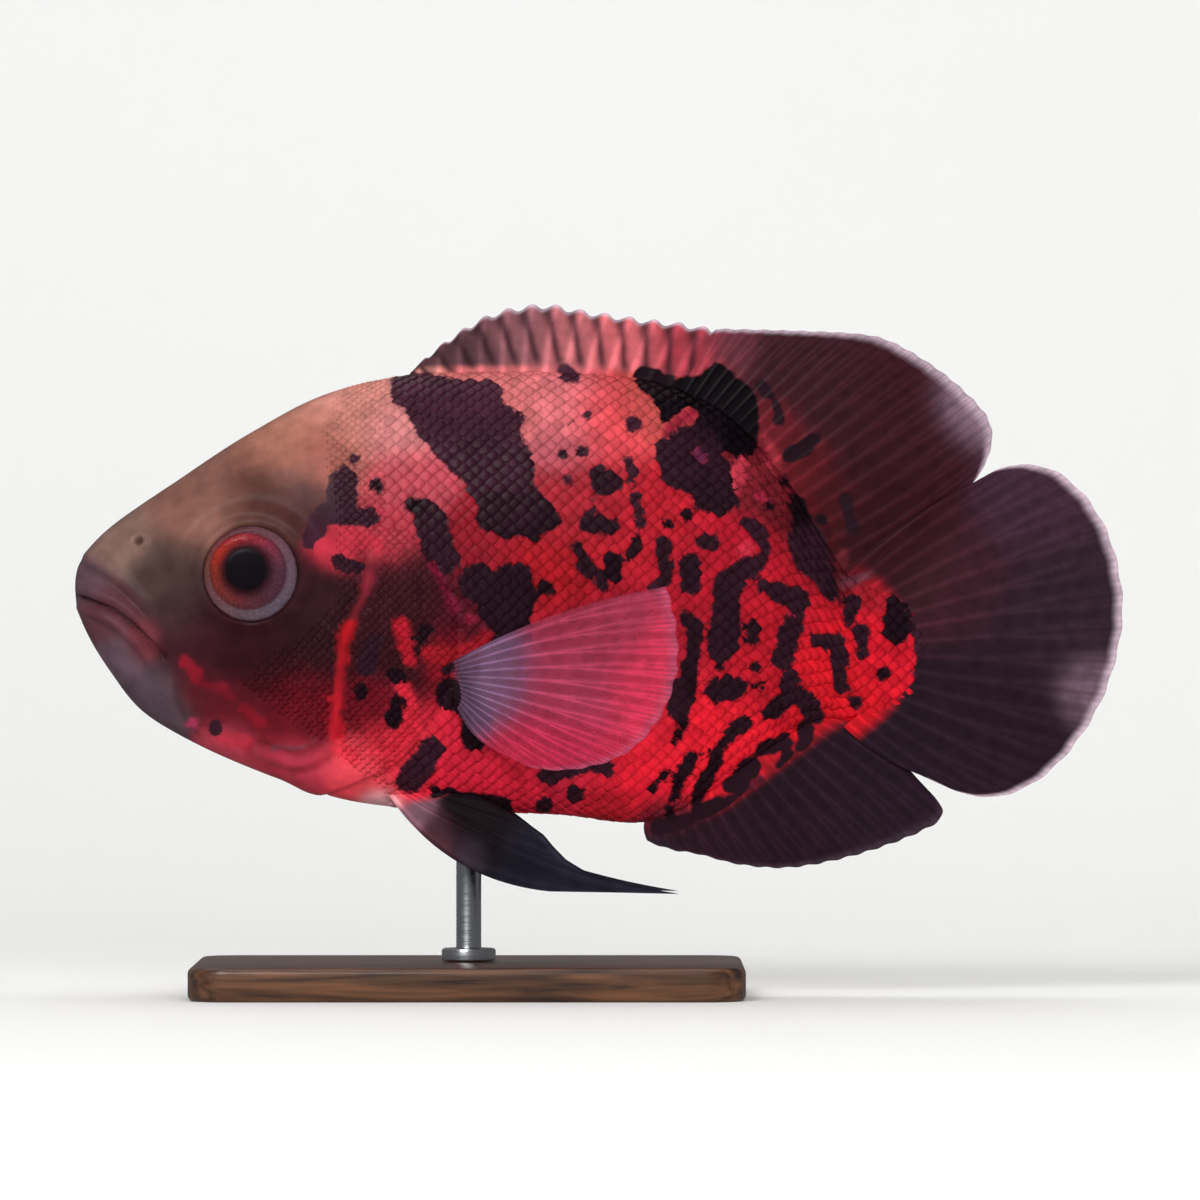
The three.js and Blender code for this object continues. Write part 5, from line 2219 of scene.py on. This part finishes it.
@dataclass
class Eye:
    """One eye: a grey ring, a red iris round a black pupil, and a clear front over them."""

    shape: BodyShape
    side: Side
    ring_radius: float = 11.0
    iris_radius: float = 9.0
    pupil_radius: float = 5.1
    shift: float = 1.0
    shift_fades: tuple[float, float] = (7.5, 11.5)
    segments: int = 96
    yaw: float = 0.06
    fibres: int = 46
    fibre_share: float = 0.16
    pupil_black: str = "#0A060C"
    pupil_edge: Range = (-0.3, 0.1)
    inner_iris: str = "#240A10"
    inner_reach: float = 2.6
    rim_dusk: str = "#2A161C"
    rim_share: float = 0.45
    rim_width: float = 0.5

    def spun(self, name: str, profile: Profile, painted: bool = False) -> bpy.types.Mesh:
        """Turns a profile round the eye's axis and sets it in its socket.

        Args:
            name: the mesh's name.
            profile: radius and height over the socket, from the axis outwards.
            painted: whether it carries the eye's colours.

        Returns:
            The mesh, in place.
        """
        mesh = turned(name, profile, self.segments)
        spots = corners_of(mesh)
        if painted:
            keep(mesh, tint=self.colours(spots))
        set_place(mesh, self.seated(spots))
        smooth(mesh)
        return mesh

    def seated(self, spots: Points) -> Points:
        """Moves points from the eye's own axis into its socket.

        Args:
            spots: points with z along the eye's axis, outwards.

        Returns:
            The same points on the fish.
        """
        sign = self.side.value
        x, z, out = spots.T
        forward_up = self.shift * (1 - ease(np.hypot(x, z), *self.shift_fades))
        x, z = x - forward_up, z + forward_up
        across, forward = math.cos(self.yaw), math.sin(self.yaw)
        base = float(self.shape.half_thickness(*self.shape.eye[:, None])[0])
        return np.stack(
            [
                self.shape.eye[0] + x * across - out * forward,
                sign * (base + out * across + x * forward),
                self.shape.eye[1] + z,
            ],
            1,
        )

    def colours(self, spots: Points) -> Values:
        """The eye's colour at each vertex: red above and in front, plum behind.

        Args:
            spots: the eye's vertices round its own axis.

        Returns:
            One linear colour for each vertex.
        """
        radius, angle = np.hypot(*spots[:, :2].T), np.arctan2(spots[:, 1], spots[:, 0])
        off_pupil, off_iris = radius - self.pupil_radius, radius - self.iris_radius
        stops = np.radians(WHEEL_DEGREES)
        spread = lambda wheel: np.stack(
            [np.interp(angle, stops, stage) for stage in zip(*map(linear, wheel))], 1
        )
        fibres = 1 + self.fibre_share * np.sin(angle * self.fibres) * ease(off_pupil, 0, 2)
        iris = spread(IRIS_WHEEL) * fibres[:, None]
        colour = blend(np.array(linear(self.inner_iris)), iris, ease(off_pupil, 0, self.inner_reach))
        dusk = self.rim_share * hump(off_iris, self.rim_width)
        colour = blend(colour, linear(self.rim_dusk), dusk)
        colour = blend(colour, spread(RING_WHEEL), ease(off_iris, 0, self.rim_width))
        return blend(colour, linear(self.pupil_black), 1 - ease(off_pupil, *self.pupil_edge))

    def build(self, tissue: bpy.types.Material, cornea: bpy.types.Material) -> None:
        """Builds the eye and its clear front.

        Args:
            tissue: the iris's and the ring's finish.
            cornea: the clear front's finish.
        """
        pupil, iris, ring = self.pupil_radius, self.iris_radius, self.ring_radius
        steps = lambda a, b, count: np.linspace(a, b, count, endpoint=False)

        # The domed pupil, a step down to the sloping iris, the raised ring, and the hidden back
        profile = [(float(r), 0.9 - 0.25 * (r / pupil) ** 2) for r in steps(0.0, pupil, 10)]
        profile += [(pupil, 0.45), (pupil + 0.25, 0.5)]
        profile += [(float(r), 0.5 - 0.1 * (r - pupil)) for r in steps(pupil + 0.6, iris - 0.3, 14)]
        profile += [(iris, 0.14), (iris + 0.5, 0.2), (iris + 1.1, 0.12), (ring - 0.2, -0.05)]
        profile += [(ring + 0.3, -0.5), (ring, -2.0), (ring * 0.7, -4.0), (0.0, -4.6)]
        word = self.side.name.lower()
        mesh = self.spun(f"eyeball_{word}", profile, painted=True)
        add_piece(mesh.name, mesh, tissue, (f"eye_{word}",))

        # The clear front: a low dome over the iris, closed by a shallow hollow behind
        rim = iris + 0.5
        dome = [(float(r), 0.7 + 1.5 * math.sqrt(1 - (r / rim) ** 2)) for r in steps(0.0, rim, 16)]
        dome += [(rim, 0.7), (rim - 0.2, 0.6), (0.0, 1.2)]
        add_piece(f"cornea_{word}", self.spun(f"cornea_{word}", dome), cornea)


@dataclass
class Stand:
    """A walnut board with rounded edges, and the steel rod that carries the fish."""

    shape: BodyShape
    length: float = 132.0
    width: float = 92.0
    height: float = 8.0
    corner: float = 10.0
    edge: float = 1.5
    corner_faces: int = 12
    edge_faces: int = 4
    rod_x: float = -31.5
    rod_radius: float = 3.0
    collar_radius: float = 6.5
    collar_height: float = 3.0
    rod_segments: int = 48
    gap: float = 0.3
    into_belly: float = 0.6

    def build(self, board: bpy.types.Material, steel: bpy.types.Material) -> None:
        """Builds the board and the rod.

        Args:
            board: the wood.
            steel: the rod's metal.
        """
        form = bmesh.new()
        bmesh.ops.create_cube(form, size=1)
        bmesh.ops.scale(form, vec=(self.length, self.width, self.height), verts=form.verts[:])
        bmesh.ops.translate(form, vec=(self.rod_x, 0, self.height / 2), verts=form.verts[:])
        ends = lambda edge: [v.co.z for v in edge.verts]
        upright = [e for e in form.edges if max(ends(e)) - min(ends(e)) > self.height / 2]
        round_off(form, upright, self.corner, self.corner_faces)
        flat = [f for f in form.faces if abs(f.normal.z) > 0.9]
        rims = list({edge for face in flat for edge in face.edges})
        round_off(form, rims, self.edge, self.edge_faces)
        bmesh.ops.recalc_face_normals(form, faces=form.faces[:])
        mesh = mesh_from("stand_base_board", form)
        set_place(mesh, corners_of(mesh))
        smooth(mesh)
        mesh.set_sharp_from_angle(angle=math.radians(40))
        add_piece("stand_base_board", mesh, board, ("stand_base",))
        self.rod(steel)

    def rod(self, steel: bpy.types.Material) -> None:
        """Builds the rod with its collar, up into the belly.

        Args:
            steel: its metal.
        """
        belly = float(self.shape.section(self.shape.along_of(np.array(self.rod_x)))["bottom"])
        foot, top = self.height + self.gap, belly + self.into_belly
        rim, shoulder, radius = self.collar_radius, self.collar_height, self.rod_radius
        collar = [
            (rim - 0.3, 0.0),
            (rim, 0.3),
            (rim, shoulder - 0.7),
            (rim - 0.2, shoulder - 0.2),
            (rim - 0.7, shoulder),
            (radius + 0.5, shoulder),
            (radius + 0.1, shoulder + 0.15),
            (radius, shoulder + 0.5),
        ]
        profile = [(0.0, foot), *((r, foot + h) for r, h in collar), (radius, top), (0.0, top)]
        mesh = turned("stand_rod_steel", profile, self.rod_segments)
        set_place(mesh, corners_of(mesh) + (self.rod_x, 0, 0))
        smooth(mesh)
        mesh.set_sharp_from_angle(angle=math.radians(35))
        add_piece("stand_rod_steel", mesh, steel, ("stand_rod",))


@dataclass(frozen=True)
class SoftLight:
    """A large square light: where it hangs and its side in metres, its watts, and its gloss."""

    name: str
    spot: tuple[float, float, float]
    size: float
    power: float
    shines: bool = True


@dataclass
class Studio:
    """The pale paper sweep, the soft lights and the camera."""

    lights: tuple[SoftLight, ...] = (
        SoftLight("key", (-0.7, -1.6, 1.2), 0.9, 21.0),
        SoftLight("fill", (0.5, -1.8, 0.3), 1.0, 26.0, shines=False),
        SoftLight("top", (0.1, 0.1, 1.7), 1.1, 5.0),
        SoftLight("paper", (0.0, 0.9, 1.9), 1.6, 14.0),
    )
    lit_spot: tuple[float, float, float] = (0.0, 0.0, 0.1)
    room_colour: str = "#F2F4F8"
    room_light: float = 0.18
    camera_distance: float = 2.4
    camera_row: float = 600.0
    sensor_mm: float = 36.0
    paper_near: float = -3.2
    paper_far: float = 1.4
    paper_height: float = 3.0
    paper_bend: float = 0.9
    paper_half_width: float = 3.5

    def build(self, paper: bpy.types.Material) -> None:
        """Builds the sweep, the lights and the camera.

        Args:
            paper: the sweep's finish.
        """
        self.sweep(paper)
        for light in self.lights:
            self.hang(light)
        world = bpy.data.worlds.new("soft_studio")
        world.use_nodes = True
        room = world.node_tree.nodes["Background"].inputs
        room[0].default_value = opaque(self.room_colour)
        room[1].default_value = self.room_light
        bpy.context.scene.world = world
        bpy.context.scene.view_settings.view_transform = "Standard"
        self.camera()

    def sweep(self, paper: bpy.types.Material) -> None:
        """Extrudes the paper's side line across the studio.

        Args:
            paper: its finish.
        """
        bend = self.paper_bend
        turn = np.linspace(0, math.pi / 2, 17)
        line = [(self.paper_near, 0.0)]
        line += [
            (self.paper_far - bend + bend * math.sin(a), bend - bend * math.cos(a)) for a in turn
        ]
        line += [(self.paper_far, self.paper_height)]
        form = bmesh.new()
        _, edges = chain(form, [(-self.paper_half_width, y, z) for y, z in line])
        made = bmesh.ops.extrude_edge_only(form, edges=edges)
        moved = [v for v in made["geom"] if isinstance(v, bmesh.types.BMVert)]
        bmesh.ops.translate(form, vec=(2 * self.paper_half_width, 0, 0), verts=moved)
        bmesh.ops.recalc_face_normals(form, faces=form.faces[:])
        mesh = mesh_from("paper", form)
        smooth(mesh)
        mesh.materials.append(paper)
        floor = in_scene("paper", mesh)
        floor.visible_glossy = False
        floor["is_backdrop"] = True

    def hang(self, light: SoftLight) -> None:
        """Adds a light that looks at the fish.

        Args:
            light: which light.
        """
        lamp = bpy.data.lights.new(light.name, "AREA")
        lamp.shape = "SQUARE"
        lamp.size = light.size
        lamp.energy = light.power
        holder = in_scene(light.name, lamp)
        holder.location = light.spot
        away = Vector(self.lit_spot) - holder.location
        holder.rotation_euler = away.to_track_quat("-Z", "Y").to_euler()
        holder.visible_glossy = light.shines

    def camera(self) -> None:
        """Sets the camera square to the fish's side, far off, as the photograph has it."""
        lens = bpy.data.cameras.new("camera")
        lens.sensor_width = self.sensor_mm
        view_width = PHOTO_WIDTH * PHOTO_MM * MM
        lens.lens = self.sensor_mm * self.camera_distance / view_width
        lens.clip_end = 20
        holder = in_scene("camera", lens)
        height = (PHOTO_FLOOR_ROW - self.camera_row) * PHOTO_MM * MM
        holder.location = (0.0, -self.camera_distance, height)
        holder.rotation_euler = (math.pi / 2, 0, 0)
        bpy.context.scene.camera = holder


def main() -> None:
    """Builds the fish, its stand and the studio."""
    logging.basicConfig(level=logging.INFO, format="%(message)s")
    shape = BodyShape()
    markings = Markings()
    skin = Skin(shape, markings).build(FishSkin())
    for side in Side:
        for row in SCALE_ROWS:
            Scales(shape, markings, row, side).build(skin.data.materials[0])
    membrane = FinMembrane().make()
    clear = FinMembrane("clear_membrane", clearness=0.62, web_to_ray=(0.9, 1.25)).make()
    for fin in median_fins(shape):
        fin.build(markings, membrane)
    for side in Side:
        for fin in paired_fins(shape, side):
            fin.build(markings, clear if fin.slot == "pectoral" else membrane)
    tissue, cornea = EyeTissue().make(), ClearCornea().make()
    for side in Side:
        Eye(shape, side).build(tissue, cornea)
    Stand(shape).build(Walnut().make(), BrushedSteel().make())
    Studio().build(StudioPaper().make())
    boxes = {"cad": CAD_BOX, "visual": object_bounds()}
    {k: [list(map(float, corner)) for corner in box] for k, box in boxes.items()}


if __name__ == "__main__":
    main()
